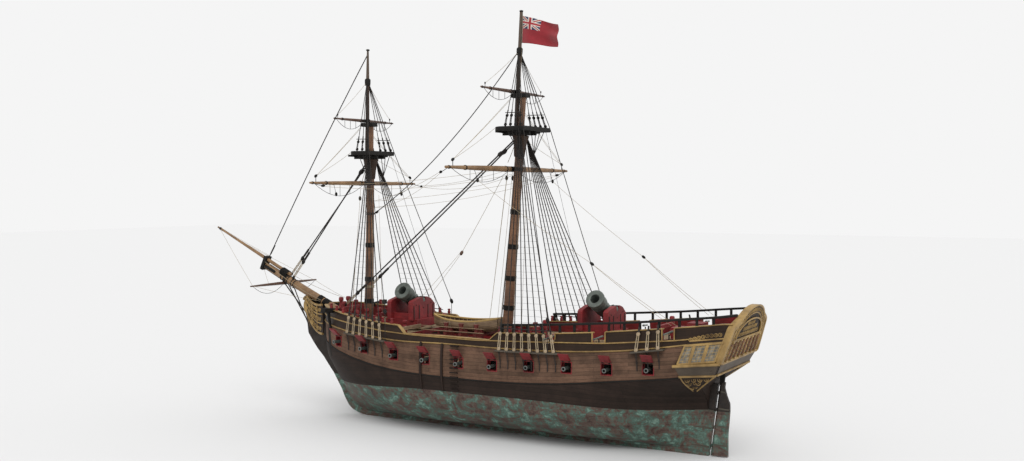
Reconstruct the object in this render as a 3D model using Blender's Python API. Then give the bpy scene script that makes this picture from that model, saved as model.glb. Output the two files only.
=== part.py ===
"""Sailing ship of about 1730 with two masts, two heavy mortars and ten gunports a side.

The ship is drawn in full-size metres, +X forward, +Y to port, +Z up from the underside of the keel,
with X = 0 at the heel of the sternpost. Every piece is then brought to the 1:2 model, whose origin
is on the centreline amidships at the waterline.
"""
import math

import bmesh
import bpy
import numpy as np

# Scale model and its origin
MODEL_SCALE = 0.5
ORIGIN_X = 13.0
ORIGIN_Z = 3.0
GAP = 0.0006

# Hull lines, full size
KEEL_LENGTH = 26.0
KEEL_DEPTH = 0.34
KEEL_HALF = 0.17
RUN_X = 9.0
ENTRANCE_X = 19.0
WAIST_AFT = 12.95
WAIST_FORE = 20.6
WAIST_FLOOR = 4.6
WAIST_HALF = 3.7
DECK_THICK = 0.25
BULWARK_THICK = 0.16

# Gunports
PORT_HALF = 0.33
PORT_DEPTH = 0.55
PORT_X = (26.15, 23.45, 20.84, 18.29, 15.67, 13.14, 10.47, 7.83, 5.17, 2.54)
PORT_Z = (5.76, 5.55, 5.29, 5.18, 5.11, 5.13, 5.27, 5.40, 5.48, 5.67)
LID_LENGTH = 0.7
LID_THICK = 0.08
LID_OPEN = math.radians(135.0)
KNUCKLE_R = 0.035
LUG_OUT = 0.05

# Masts and spars: each mast's axis crosses z = 0 at "at" and rakes by so much a metre
FORE_X = 25.85
FORE = dict(at=26.04, rake=-0.02, top=19.15, cap=21.0, head=24.35, pole=26.45, low=0.32, high=0.14, tip=0.07,
            top_rake=-0.0125, platform=1.5)
MAIN = dict(at=14.88, rake=-0.0792, top=20.55, cap=22.58, head=25.81, pole=28.26, low=0.365, high=0.155, tip=0.105,
            top_rake=-0.0495, platform=1.87)
BOWSPRIT_A = (28.3, 7.30)
BOWSPRIT_B = (35.75, 10.65)
JIBBOOM_B = (40.58, 13.5)

for old in list(bpy.data.objects):
    bpy.data.objects.remove(old, do_unlink=True)


def spline(*table):
    """Smooth curve through the table's (x, y) pairs, level with its ends outside them."""
    xs = np.array([p[0] for p in table], float)
    ys = np.array([p[1] for p in table], float)
    slope = np.gradient(ys, xs)

    def value(x):
        x = min(max(x, xs[0]), xs[-1])
        i = min(int(np.searchsorted(xs, x, side="right")) - 1, len(xs) - 2)
        h = xs[i + 1] - xs[i]
        t = (x - xs[i]) / h
        a = (1 + 2 * t) * (1 - t) ** 2 * ys[i] + t * (1 - t) ** 2 * h * slope[i]
        return float(a + t * t * (3 - 2 * t) * ys[i + 1] + t * t * (t - 1) * h * slope[i + 1])
    return value


# Half-breadth amidships against height, and the ends of the planking against height
mid_half = spline((0.34, 0.3), (0.55, 1.35), (1.0, 2.35), (1.6, 3.08), (2.3, 3.56), (3.1, 3.88),
                  (4.1, 4.08), (5.0, 4.1), (6.3, 3.98), (6.8, 3.85), (7.4, 3.72), (8.7, 3.5))
stem_x = spline((0.34, 26.3), (0.7, 27.0), (1.2, 27.5), (2.3, 28.1), (3.45, 28.55), (4.6, 28.85),
                (5.7, 29.05), (7.0, 29.2), (8.2, 29.3))
stern_x = spline((0.34, 0.40), (2.66, 0.04), (4.0, -0.12), (4.6, -0.32), (4.9, -0.66), (5.4, -1.12),
                 (5.9, -1.48), (6.2, -1.6), (7.0, -1.66), (7.89, -1.78), (8.5, -2.3), (9.6, -3.0))
stern_half = spline((0.34, 0.17), (2.6, 0.19), (3.2, 0.3), (3.8, 0.85), (4.3, 1.7), (4.8, 2.5),
                    (5.3, 3.0), (5.8, 3.3), (6.3, 3.43), (7.0, 3.38), (8.0, 3.2), (9.1, 2.95))
copper_z = spline((-0.6, 2.84), (3.8, 2.85), (8.0, 3.08), (14.0, 3.12), (20.0, 3.08), (25.0, 2.75),
                  (28.5, 2.5))
wale_z = spline((-1.8, 5.75), (0.8, 5.21), (4.4, 4.79), (9.7, 4.24), (16.4, 4.08), (21.7, 4.33),
                (26.0, 5.04), (29.1, 5.75))
rail_z = spline((-2.0, 7.6), (0.2, 7.25), (3.5, 6.75), (7.6, 6.40), (12.8, 6.26), (16.4, 6.29),
                (21.5, 6.28), (23.4, 6.43), (25.4, 6.57), (29.3, 7.0))


def hull_half(x, z, grow=0.0):
    """Half-breadth of the planked hull at station x and height z."""
    mid = mid_half(z)
    if x > ENTRANCE_X:
        end = stem_x(z)
        t = min(max((x - ENTRANCE_X) / (end - ENTRANCE_X), 0.0), 1.0)
        full = min(max((z - 0.5) / 4.0, 0.0), 1.0)
        power = 1.55 + 1.25 * full
        root = 1.05 - 0.55 * full
        half = 0.15 + (mid - 0.15) * (1 - t ** power) ** root
    elif x < RUN_X:
        end = stern_x(z)
        t = min(max((x - end) / (RUN_X - end), 0.0), 1.0)
        full = min(max((z - 0.6) / 4.4, 0.0), 1.0)
        aft = min(stern_half(z), mid)
        half = aft + (mid - aft) * (1 - (1 - t) ** 2.1) ** (2.0 - full)
    else:
        half = mid
    return half + grow


def station(u, z):
    """X of the hull grid's column u (0 at the stern, 1 at the stem) at height z."""
    aft, fore = stern_x(z), stem_x(z)
    if u < 0.32:
        return aft + (RUN_X - aft) * (u / 0.32)
    if u > 0.62:
        return ENTRANCE_X + (fore - ENTRANCE_X) * math.sin(math.pi / 2 * (u - 0.62) / 0.38)
    return RUN_X + (ENTRANCE_X - RUN_X) * (u - 0.32) / 0.30


def hull_rings(columns, levels, low, high, grow=0.0):
    """Rings of a hull slice between two height functions, one ring a column, round both sides."""
    rings = []
    for u in columns:
        side = []
        for q in levels:
            z = 3.0
            for _ in range(4):
                x = station(u, z)
                z = low(x) + (high(x) - low(x)) * q
            x = station(u, z)
            side.append((x, hull_half(x, z, grow), z))
        ring = [(x, y, z) for x, y, z in side] + [(x, -y, z) for x, y, z in reversed(side)]
        rings.append(ring)
    return rings


def loft(rings):
    """Closed solid through rings of equal length, with an end face on the first and the last."""
    verts = [tuple(p) for ring in rings for p in ring]
    n = len(rings[0])
    faces = []
    for i in range(len(rings) - 1):
        for j in range(n):
            k = (j + 1) % n
            faces.append((i * n + j, i * n + k, (i + 1) * n + k, (i + 1) * n + j))
    faces.append(tuple(reversed(range(n))))
    last = (len(rings) - 1) * n
    faces.append(tuple(last + j for j in range(n)))
    return verts, faces


def skin(rings):
    """Closed solid through hull rings, in triangles, each end closed by a strip across the ship."""
    verts = [tuple(p) for ring in rings for p in ring]
    n = len(rings[0])
    quads = []
    for i in range(len(rings) - 1):
        for j in range(n):
            k = (j + 1) % n
            quads.append((i * n + j, i * n + k, (i + 1) * n + k, (i + 1) * n + j))
    last = (len(rings) - 1) * n
    for j in range(n // 2 - 1):
        quads.append((n - 1 - j, n - 2 - j, j + 1, j))
        quads.append((last + j, last + j + 1, last + n - 2 - j, last + n - 1 - j))
    return verts, [t for a, b, c, d in quads for t in ((a, b, c), (a, c, d))]


def prism(outline, y0, y1):
    """Solid with an (x, z) outline between two y planes."""
    return loft([[(x, y0, z) for x, z in outline], [(x, y1, z) for x, z in outline]])


def block(x0, x1, y0, y1, z0, z1):
    return prism([(x0, z0), (x1, z0), (x1, z1), (x0, z1)], y0, y1)


def frame_block(centre, axes, low, high):
    """Box in local axes (three unit vectors) from corner low to corner high about centre."""
    c = np.array(centre, float)
    a = [np.array(v, float) for v in axes]

    def at(i, j, k):
        return tuple(c + a[0] * i + a[1] * j + a[2] * k)
    return loft([[at(i, low[1], low[2]), at(i, high[1], low[2]), at(i, high[1], high[2]),
                  at(i, low[1], high[2])] for i in (low[0], high[0])])


def spar(points, radii, sides=12, turn=0.0):
    """Round solid through centre points, one radius each, square to its whole length."""
    pts = [np.array(p, float) for p in points]
    run = pts[-1] - pts[0]
    run = run / np.linalg.norm(run)
    side = np.cross(run, (0.0, 0.0, 1.0)) if abs(run[2]) < 0.9 else np.cross(run, (0.0, 1.0, 0.0))
    side = side / np.linalg.norm(side)
    up = np.cross(side, run)
    rings = []
    for p, r in zip(pts, radii):
        ring = []
        for k in range(sides):
            a = 2 * math.pi * (k + turn) / sides
            ring.append(tuple(p + side * (r * math.cos(a)) + up * (r * math.sin(a))))
        rings.append(ring)
    return loft(rings)


def collar(foot, head, r_in, r_out, sides=16):
    """Ring about an axis from foot to head, its corners half a step off the mast's own."""
    r_in = r_in / math.cos(math.pi / sides)
    p0, p1 = np.array(foot, float), np.array(head, float)
    run = (p1 - p0) / np.linalg.norm(p1 - p0)
    side = np.cross(run, (0.0, 0.0, 1.0)) if abs(run[2]) < 0.9 else np.cross(run, (0.0, 1.0, 0.0))
    side = side / np.linalg.norm(side)
    up = np.cross(side, run)
    verts, faces = [], []
    for k in range(sides):
        a = 2 * math.pi * (k + 0.5) / sides
        out = side * math.cos(a) + up * math.sin(a)
        verts += [tuple(p0 + out * r_in), tuple(p0 + out * r_out), tuple(p1 + out * r_out),
                  tuple(p1 + out * r_in)]
    for k in range(sides):
        m = (k + 1) % sides
        for j in range(4):
            i = (j + 1) % 4
            faces.append((4 * k + j, 4 * k + i, 4 * m + i, 4 * m + j))
    return verts, faces


def saddle(foot, head, r_in, r_out, down, steps=8):
    """Half ring about an axis from foot to head, open on the side away from down."""
    p0, p1 = np.array(foot, float), np.array(head, float)
    run = (p1 - p0) / np.linalg.norm(p1 - p0)
    side = np.cross(run, down)
    r_in = r_in / math.cos(math.pi / 16)
    rings = []
    for k in range(steps):
        a = math.pi * (k + 0.5) / steps
        out = side * math.cos(a) + down * math.sin(a)
        rings.append([tuple(p0 + out * r_in), tuple(p0 + out * r_out), tuple(p1 + out * r_out),
                      tuple(p1 + out * r_in)])
    return loft(rings)


def join(*shapes):
    """Several closed shapes in one list of vertices and faces."""
    verts, faces = [], []
    for v, f in shapes:
        n = len(verts)
        verts += list(v)
        faces += [tuple(i + n for i in face) for face in f]
    return verts, faces


def mirror(shape):
    """The same shape on the other side of the centreline."""
    return [(x, -y, z) for x, y, z in shape[0]], [tuple(reversed(f)) for f in shape[1]]


def finish(name, colour, rough, metal):
    mat = bpy.data.materials.new(name)
    mat.use_nodes = True
    shader = mat.node_tree.nodes["Principled BSDF"]
    shader.inputs["Base Color"].default_value = (*colour, 1.0)
    shader.inputs["Roughness"].default_value = rough
    shader.inputs["Metallic"].default_value = metal
    mat.diffuse_color = (*colour, 1.0)
    return mat


COPPER = finish("weathered_copper", (0.30, 0.22, 0.17), 0.6, 0.6)
TIMBER = finish("weathered_oak", (0.25, 0.20, 0.16), 0.8, 0.0)
BLACK = finish("tarred_black", (0.03, 0.028, 0.026), 0.7, 0.0)
PANEL = finish("dark_panel", (0.12, 0.07, 0.05), 0.7, 0.0)
GILT = finish("old_gilt", (0.55, 0.38, 0.12), 0.5, 0.6)
DECK = finish("deck_plank", (0.45, 0.35, 0.25), 0.8, 0.0)
SPAR_WOOD = finish("spar_wood", (0.30, 0.19, 0.12), 0.6, 0.0)
RED = finish("red_ochre", (0.35, 0.04, 0.03), 0.7, 0.0)
IRON = finish("gun_iron", (0.16, 0.18, 0.17), 0.5, 0.8)
PALE = finish("pale_oak", (0.55, 0.42, 0.28), 0.7, 0.0)
ROPE = finish("tarred_rope", (0.06, 0.05, 0.045), 0.9, 0.0)
CLOTH = finish("flag_cloth", (0.5, 0.06, 0.06), 0.9, 0.0)


def to_model(p):
    return ((p[0] - ORIGIN_X) * MODEL_SCALE, p[1] * MODEL_SCALE, (p[2] - ORIGIN_Z) * MODEL_SCALE)


def piece(name, shape, material, pivot=(ORIGIN_X, 0.0, ORIGIN_Z), cutter=False):
    """One named object from a full-size shape, its own origin on the pivot."""
    verts, faces = shape
    base = to_model(pivot)
    mesh = bpy.data.meshes.new(name)
    mesh.from_pydata([tuple(a - b for a, b in zip(to_model(v), base)) for v in verts], [], faces)
    bm = bmesh.new()
    bm.from_mesh(mesh)
    bmesh.ops.recalc_face_normals(bm, faces=bm.faces)
    bm.to_mesh(mesh)
    bm.free()
    mesh.materials.append(material)
    obj = bpy.data.objects.new(name, mesh)
    obj.location = base
    bpy.context.collection.objects.link(obj)
    if cutter:
        obj.hide_render = True
        obj.hide_viewport = False
        obj.display_type = "WIRE"
    return obj


def combine(obj, tool, operation="DIFFERENCE"):
    """Cut the tool out of the object, or join it on, by Boolean."""
    mod = obj.modifiers.new(operation.lower(), "BOOLEAN")
    mod.operation = operation
    mod.object = tool
    mod.solver = "EXACT"


# Columns of the hull grid: close at both ends, where the planking turns
COLUMNS = ([0.32 * i / 11 for i in range(11)] + [0.32 + 0.30 * i / 5 for i in range(5)]
           + [0.62 + 0.38 * i / 12 for i in range(13)])

# Coppered bottom, solid from the keel to the waterline
BOTTOM_LEVELS = (0.0, 0.07, 0.2, 0.42, 0.7, 1.0)
bottom_rings = hull_rings(COLUMNS, BOTTOM_LEVELS, lambda x: KEEL_DEPTH + GAP, lambda x: copper_z(x) - GAP)
piece("hull_bottom", skin(bottom_rings), COPPER)

# Topsides, solid from the copper to the channel rail, with the open waist and the ports cut
SIDE_LEVELS = (0.0, 0.18, 0.36, 0.52, 0.68, 0.84, 1.0)
side_rings = hull_rings(COLUMNS, SIDE_LEVELS, copper_z, rail_z)
topsides = piece("hull_topsides", skin(side_rings), TIMBER)
TOP_X = [ring[len(SIDE_LEVELS) - 1][0] for ring in side_rings]
TOP_Z = [ring[len(SIDE_LEVELS) - 1][2] for ring in side_rings]


def seat(x):
    """Height of the topsides' upper edge, just as its own planes run."""
    return float(np.interp(x, TOP_X, TOP_Z)) + GAP


def shifted(rings, dx):
    return [[(x + dx, y, z) for x, y, z in ring] for ring in rings]


def waist_plan(inset, low, high):
    """The open waist, narrower at both ends where the side cabins stand."""
    xs = (WAIST_AFT + inset, 13.52 + inset, 20.44 - inset, WAIST_FORE - inset)
    wide, narrow = WAIST_HALF - inset, 2.85 - inset
    half = [(xs[0], narrow), (xs[1], narrow), (xs[1], wide), (xs[2], wide), (xs[2], narrow), (xs[3], narrow)]
    plan = [(x, -y) for x, y in half] + half[::-1]
    return loft([[(x, y, z) for x, y in plan] for z in (low, high)])


waist_cut = piece("waist_cutter", waist_plan(0.0, WAIST_FLOOR, 8.0), TIMBER, cutter=True)
combine(topsides, waist_cut)


def port_frame(i, side):
    """Centre of port i on the planking and its local axes: along the side, outward, up."""
    x, z = PORT_X[i], PORT_Z[i]
    ahead, astern = hull_half(x + 0.3, z), hull_half(x - 0.3, z)
    along = np.array((0.6, (ahead - astern), 0.0))
    along = along / np.linalg.norm(along)
    out = np.array((-along[1], along[0], 0.0))
    centre = np.array((x, hull_half(x, z), z))
    if side < 0:
        centre[1], along[1], out[1] = -centre[1], -along[1], -out[1]
    return centre, along, out


UP = np.array((0.0, 0.0, 1.0))
port_boxes, lugs, guns, waist_guns, carriages = [], [], [], [], []
for side in (1, -1):
    for i in range(len(PORT_X)):
        centre, along, out = port_frame(i, side)
        in_waist = 13.6 < PORT_X[i] < 20.3
        inner = -0.75 if in_waist else -PORT_DEPTH
        port_boxes.append(frame_block(centre, (along, out, UP), (-PORT_HALF, inner, -PORT_HALF),
                                      (PORT_HALF, 0.6, PORT_HALF)))
        hinge_z = PORT_HALF + 0.07
        for s in (-0.22, 0.22):
            lugs.append(frame_block(centre, (along, out, UP), (s - 0.05, -0.2, hinge_z - 0.045),
                                    (s + 0.05, LUG_OUT, hinge_z + 0.045)))
        # Barrel, from the back of its recess or from its carriage in the waist
        rear = -1.55 if in_waist else -PORT_DEPTH - 0.05
        steps = ((rear, 0.15), (-0.15, 0.13), (0.34, 0.105), (0.40, 0.135), (0.45, 0.125))
        if in_waist:
            steps = ((rear - 0.22, 0.04), (rear - 0.1, 0.06), (rear, 0.17)) + steps[1:]
        lift = -0.02
        barrel = spar([centre + out * d + UP * lift for d, r in steps], [r for d, r in steps], 10)
        (waist_guns if in_waist else guns).append(barrel)
        if in_waist:
            floor = WAIST_FLOOR + 0.1 - centre[2]
            carriages.append(frame_block(centre, (along, out, UP), (-0.26, -1.75, floor),
                                         (0.26, -0.62, lift - 0.08)))
port_cut = piece("port_cutter", join(*port_boxes), TIMBER, cutter=True)
combine(topsides, port_cut)
lug_tool = piece("lug_tool", join(*lugs), TIMBER, cutter=True)
combine(topsides, lug_tool, "UNION")
combine(topsides, piece("gun_tool", join(*guns), IRON, cutter=True), "UNION")

# Port lids, each hinged on a knuckle under the head of its port and standing open
for side, word in ((1, "port"), (-1, "starboard")):
    for i in range(len(PORT_X)):
        centre, along, out = port_frame(i, side)
        hinge = centre + UP * (PORT_HALF + 0.07) + out * (LUG_OUT + KNUCKLE_R + 0.001)
        away = out * math.sin(LID_OPEN) - UP * math.cos(LID_OPEN)
        face = np.cross(along, away)
        if face[2] < 0:
            face = -face
        rim = KNUCKLE_R * 0.9
        ring = []
        for s in (-0.36, 0.36):
            p = hinge + along * s
            arc = [p + away * (KNUCKLE_R * math.cos(a)) + face * (KNUCKLE_R * math.sin(a))
                   for a in np.linspace(math.radians(60), math.radians(300), 7)]
            low = p + away * LID_LENGTH - face * rim
            high = p + away * LID_LENGTH + face * (LID_THICK - rim)
            ring.append([tuple(v) for v in arc] + [tuple(low), tuple(high)])
        piece("lid_%s_%d" % (word, i + 1), loft(ring), RED, pivot=tuple(hinge))

# Keel, stem with the knee of the head, and sternpost
piece("keel", block(0.0, KEEL_LENGTH, -KEEL_HALF, KEEL_HALF, 0.0, KEEL_DEPTH), COPPER)
stem_front = [(26.75, 0.12), (27.3, 0.33), (27.66, 0.62), (28.03, 1.19), (28.3, 1.76), (28.67, 2.32),
              (29.04, 2.89), (29.51, 3.45), (29.97, 4.02), (30.54, 4.58), (31.01, 5.15), (31.42, 5.72),
              (31.5, 6.32), (31.62, 7.0), (31.78, 7.55)]
stem_back = [(29.42, 7.35), (29.22, 6.97)] + [(stem_x(z) - 0.25, z) for z in (6.5, 5.7, 4.6, 3.45, 2.3, 1.2, 0.7)]
stem = piece("stem", prism([(KEEL_LENGTH + GAP, 0.0)] + stem_front + stem_back
                           + [(26.5, KEEL_DEPTH), (KEEL_LENGTH + GAP, KEEL_DEPTH)], -0.14, 0.14), TIMBER)
whole_rings = []
for low, high in zip(bottom_rings, side_rings):
    port_side = low[:len(BOTTOM_LEVELS)] + high[:len(SIDE_LEVELS)]
    whole_rings.append(port_side + [(x, -y, z) for x, y, z in reversed(port_side)])
hull_fit = {word: piece("hull_fit_" + word, skin(shifted(whole_rings, dx)), TIMBER, cutter=True)
            for word, dx in (("fore", 2 * GAP), ("aft", -2 * GAP))}
combine(stem, hull_fit["fore"])


def post_x(z):
    """Joint line between sternpost and rudder."""
    return -0.01 - 0.59 * (z - 0.08) / 4.51


sternpost = piece("sternpost", prism([(post_x(KEEL_DEPTH), KEEL_DEPTH + GAP), (post_x(4.5), 4.5), (0.3, 4.5),
                                      (0.6, 0.9), (0.385, KEEL_DEPTH + GAP)], -0.16, 0.16), TIMBER)
combine(sternpost, hull_fit["aft"])

# Rudder, bearded to a narrow fore edge and hung on the post by four pintles in gudgeons
RUDDER_GAP = 0.09
PINTLE_OUT = 0.05
PINTLE_R = 0.03
GUDGEON_HIGH = 0.08
aft_edge = ((0.06, -1.20), (1.34, -1.19), (2.83, -1.31), (3.32, -1.30), (3.80, -1.11), (4.28, -0.98), (4.62, -1.02))
rudder_rings = []
for z, x_aft in aft_edge:
    x = post_x(z) - RUDDER_GAP
    rudder_rings.append([(x, 0.03, z), (x - 0.14, 0.15, z), (x_aft, 0.11, z), (x_aft, -0.11, z),
                         (x - 0.14, -0.15, z), (x, -0.03, z)])
post_run = np.array((post_x(4.59) - post_x(0.08), 0.0, 4.51))
post_run = post_run / np.linalg.norm(post_run)
rudder_axis = (post_x(0.06) - PINTLE_OUT, 0.0, 0.06)
rudder = piece("rudder", loft(rudder_rings), COPPER, pivot=rudder_axis)
notches, pintles, arms, gudgeons = [], [], [], []
for z in (0.55, 1.7, 2.8, 3.85):
    at = np.array((post_x(z) - PINTLE_OUT, 0.0, z))
    notches.append(spar([at - post_run * 0.03, at + post_run * (GUDGEON_HIGH + 0.03)], [0.085, 0.085], 12))
    arms.append(block(at[0] - 0.2, at[0] - 0.0, -0.028, 0.028, z + GUDGEON_HIGH + 0.035, z + GUDGEON_HIGH + 0.11))
    pintles.append(spar([at - post_run * 0.02, at + post_run * (GUDGEON_HIGH + 0.13)], [PINTLE_R, PINTLE_R], 12))
    gudgeons.append(collar(at, at + post_run * GUDGEON_HIGH, PINTLE_R + GAP, 0.065, 12))
for tools, operation in ((notches, "DIFFERENCE"), (arms, "UNION"), (pintles, "UNION")):
    combine(rudder, piece("rudder_tool_%d" % len(bpy.data.objects), join(*tools), COPPER, cutter=True), operation)
combine(sternpost, piece("gudgeon_tool", join(*gudgeons), COPPER, cutter=True), "UNION")


# Decks laid on the solid topsides
def deck_rings(xs, half, low, crown):
    rings = []
    for x in xs:
        z, w = low(x), half(x)
        rings.append([(x, w, z), (x, w, z + DECK_THICK), (x, 0.0, z + DECK_THICK + crown),
                      (x, -w, z + DECK_THICK), (x, -w, z)])
    return rings


def inside(x):
    z = rail_z(x) + DECK_THICK
    slope = (hull_half(x + 0.05, z) - hull_half(x - 0.05, z)) / 0.1
    return hull_half(x, z) - BULWARK_THICK * math.hypot(1.0, slope) - 0.04


fore_deck_x = [WAIST_FORE] + [x for x in TOP_X if WAIST_FORE + 0.1 < x < 28.3] + [28.35]
fore_deck = piece("forecastle_deck", loft(deck_rings(fore_deck_x, inside, seat, 0.08)), DECK)
quarter_x = [-1.5] + [x for x in TOP_X if -1.4 < x < WAIST_AFT - 0.1] + [WAIST_AFT]
quarterdeck = piece("quarterdeck", loft(deck_rings(quarter_x, inside, seat, 0.08)), DECK)
MORTAR_FORE = (22.2, rail_z(23.8) + DECK_THICK + 0.1)
MORTAR_AFT = (7.3, rail_z(5.7) + DECK_THICK + 0.1)
PARTNER_Z = rail_z(FORE_X + 0.6) + DECK_THICK + 0.1


def round_pad(x, radius, low, high):
    return spar([(x, 0.0, low), (x, 0.0, high)], [radius, radius], 20)


combine(fore_deck, piece("fore_pads", join(
    round_pad(MORTAR_FORE[0], 1.55, MORTAR_FORE[1] - 0.2, MORTAR_FORE[1]),
    round_pad(FORE_X, 0.55, PARTNER_Z - 0.25, PARTNER_Z)), DECK, cutter=True), "UNION")
combine(quarterdeck, piece("aft_pad", round_pad(MORTAR_AFT[0], 1.6, MORTAR_AFT[1] - 0.2, MORTAR_AFT[1]), DECK,
                           cutter=True), "UNION")
waist_deck = piece("waist_deck", waist_plan(0.01, WAIST_FLOOR + GAP, WAIST_FLOOR + GAP + 0.15), DECK)
combine(waist_deck, piece("carriage_tool", join(*carriages), RED, cutter=True), "UNION")
combine(waist_deck, piece("waist_gun_tool", join(*waist_guns), IRON, cutter=True), "UNION")

# Bulwarks above the channel rail, with hances down to the waist and gaps for the swivel guns
CAP_X = (-2.0, 1.7, 6.2, 9.5, 12.95, 13.2, 13.5, 16.9, 20.1, 20.4, 20.7, 22.0, 24.1, 26.0, 29.3)
CAP_Z = (8.55, 8.10, 7.63, 7.36, 7.21, 7.02, 6.72, 6.76, 6.74, 7.02, 7.25, 7.31, 7.49, 7.7, 8.1)
EMBRASURES = ((8.8, 9.5), (5.4, 6.2), (1.0, 1.7))


def cap_z(x):
    """Height of the bulwark's cap, in straight runs with a short fall at each end of the waist."""
    return float(np.interp(x, CAP_X, CAP_Z))


def bulwark_top(x):
    for a, b in EMBRASURES:
        if a < x < b:
            return rail_z(x) + DECK_THICK + 0.2
    return cap_z(x)


wall_x = [-1.55, -0.4]
for a, b in reversed(EMBRASURES):
    wall_x += [a - 0.001, a + 0.001, b - 0.001, b + 0.001]
wall_x += [3.5, 7.5, 11.2, 12.7, 12.95, 13.2, 13.5, 14.2, 15.5, 17.0, 18.5, 19.6, 20.1, 20.4, 20.7, 21.4,
           22.7, 24.0, 25.0, 25.9, 26.7, 27.4, 27.9, 28.3, 28.6, 28.85]
wall_x = [x for x in TOP_X if -1.5 < x < 28.8 and min(abs(x - w) for w in wall_x) > 0.02] + wall_x
wall_x = sorted(wall_x)


def wall_ring(x, side):
    low, high = seat(x), bulwark_top(x)
    ring = []
    for z, inner in ((low, False), (high, False), (high, True), (low, True)):
        y = hull_half(x, z)
        slope = (hull_half(x + 0.05, z) - hull_half(x - 0.05, z)) / 0.1
        size = math.hypot(1.0, slope)
        if inner:
            ring.append((x + slope / size * BULWARK_THICK, side * (y - BULWARK_THICK / size), z))
        else:
            ring.append((x, side * y, z))
    return ring


bulwarks = {side: piece("bulwark_" + word, loft([wall_ring(x, side) for x in wall_x]), PANEL)
            for side, word in ((1, "port"), (-1, "starboard"))}

# Raked transom with its arched taffrail, hung on the stern's own facets from the counter up
SILL_Z = 6.25
SILL_X = -1.83
TRANSOM_FOOT = 5.5
stern_edge = side_rings[0][:len(SIDE_LEVELS)]
transom_half = spline((5.5, 3.04), (6.25, 3.34), (7.0, 3.22), (7.8, 2.94), (8.2, 2.72), (9.5, 2.1))


def stern_face(z):
    """X of the transom's after face: raked aft over the sill of the windows, tucked in below it."""
    return SILL_X - 0.35 * (z - SILL_Z) if z > SILL_Z else SILL_X + 0.5 * (SILL_Z - z)


def transom_ring(v):
    top = 8.2 + 1.27 * math.sqrt(max(0.0, 1 - abs(v) ** 2.2))
    seats = sorted([TRANSOM_FOOT, SILL_Z] + [z for x, y, z in stern_edge if z > TRANSOM_FOOT])
    free = seats[-1] + 0.15
    rear, front = [], []
    for z in seats + [free + (top - free) * q for q in (0.0, 0.5, 0.8, 1.0)]:
        y = v * transom_half(z)
        if z <= seats[-1]:
            ahead = float(np.interp(z, [p[2] for p in stern_edge], [p[0] for p in stern_edge])) - 2 * GAP
        else:
            thick = float(np.interp(z, (free, 8.4), (0.58, 0.35)))
            ahead = stern_face(z) + thick
        rear.append((stern_face(z), y, z))
        front.append((ahead, y, z))
    return rear + list(reversed(front))


piece("transom", loft([transom_ring(math.sin(a)) for a in np.linspace(-math.pi / 2, math.pi / 2, 13)]), GILT)

# Quarter galleries: shallow bays on the side, shaped to it by cutting the hull out of them
side_line = [(0.9, 5.95), (0.6, 5.33), (0.45, 4.75), (0.34, 4.3), (0.1, 4.3), (-0.6, 4.85), (-1.42, 5.48),
             (-1.81, 6.24), (-2.07, 7.0), (-2.31, 7.7), (-2.29, 8.12), (-1.1, 8.03), (-0.05, 7.56), (0.28, 7.19)]


def gallery(side):
    rings = []
    for out, grow in ((-0.6, 1.0), (0.13, 1.0), (0.2, 0.95)):
        ring = []
        for x, z in side_line:
            y = hull_half(max(x, stern_x(z) + 0.02), z) + out
            ring.append((-0.7 + (x + 0.7) * grow, side * y, 6.5 + (z - 6.5) * grow))
        rings.append(ring)
    return loft(rings)


galleries = [piece("quarter_gallery_" + word, gallery(side), GILT)
             for side, word in ((1, "port"), (-1, "starboard"))]
side_cut = hull_rings(COLUMNS, SIDE_LEVELS, copper_z, rail_z, 2 * GAP)
wall_cut = hull_rings(COLUMNS, (0.0, 0.5, 1.0), lambda x: rail_z(x) - 0.06, lambda x: cap_z(x) + 1.2, 0.012)
fit_cuts = []
for word, rings in (("side", side_cut), ("wall", wall_cut)):
    rings.insert(0, [(x - 2.0, y, z) for x, y, z in rings[0]])
    fit_cuts.append(piece("hull_cutter_" + word, skin(rings), TIMBER, cutter=True))
for each in galleries:
    for tool in fit_cuts:
        combine(each, tool)

# Head: two carved cheeks from the bow to the figurehead
def head_side(side):
    inner = [(29.0, 1.35, 5.9), (29.35, 1.05, 8.1), (31.2, 0.24, 8.2), (31.35, 0.16, 7.3), (30.3, 0.5, 6.0)]
    rings = []
    for d in (0.0, 0.14):
        rings.append([(x + 0.35 * d, side * (y + d), z) for x, y, z in inner])
    return loft(rings)


head_obj = piece("head_carving", head_side(1), GILT)
combine(head_obj, piece("head_tool", join(head_side(-1)), GILT, cutter=True), "UNION")
combine(head_obj, piece("figure_tool", loft([[(x, -w, z0), (x, w, z0), (x, w, z1), (x, -w, z1)] for x, w, z0, z1 in
                                         ((30.9, 0.3, 7.35, 8.1), (31.5, 0.34, 7.4, 8.3),
                                          (31.95, 0.16, 7.7, 8.35))]), GILT, cutter=True), "UNION")
for tool in fit_cuts:
    combine(head_obj, tool)
stem_top = [(28.0, 4.0), (32.5, 4.0), (32.5, 7.611 + GAP), (28.0, 7.2297 + GAP)]
combine(head_obj, piece("stem_cutter", prism(stem_top, -0.14 - GAP, 0.14 + GAP), GILT, cutter=True))

# Channels with their deadeyes and lanyards
CHANNELS = ((21.5, 25.3, 6, 25.66, 19.15), (8.3, 12.8, 8, 13.25, 20.55), (1.5, 3.55, 3, 3.2, 17.0))
CHANNEL_OUT = 0.42


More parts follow.
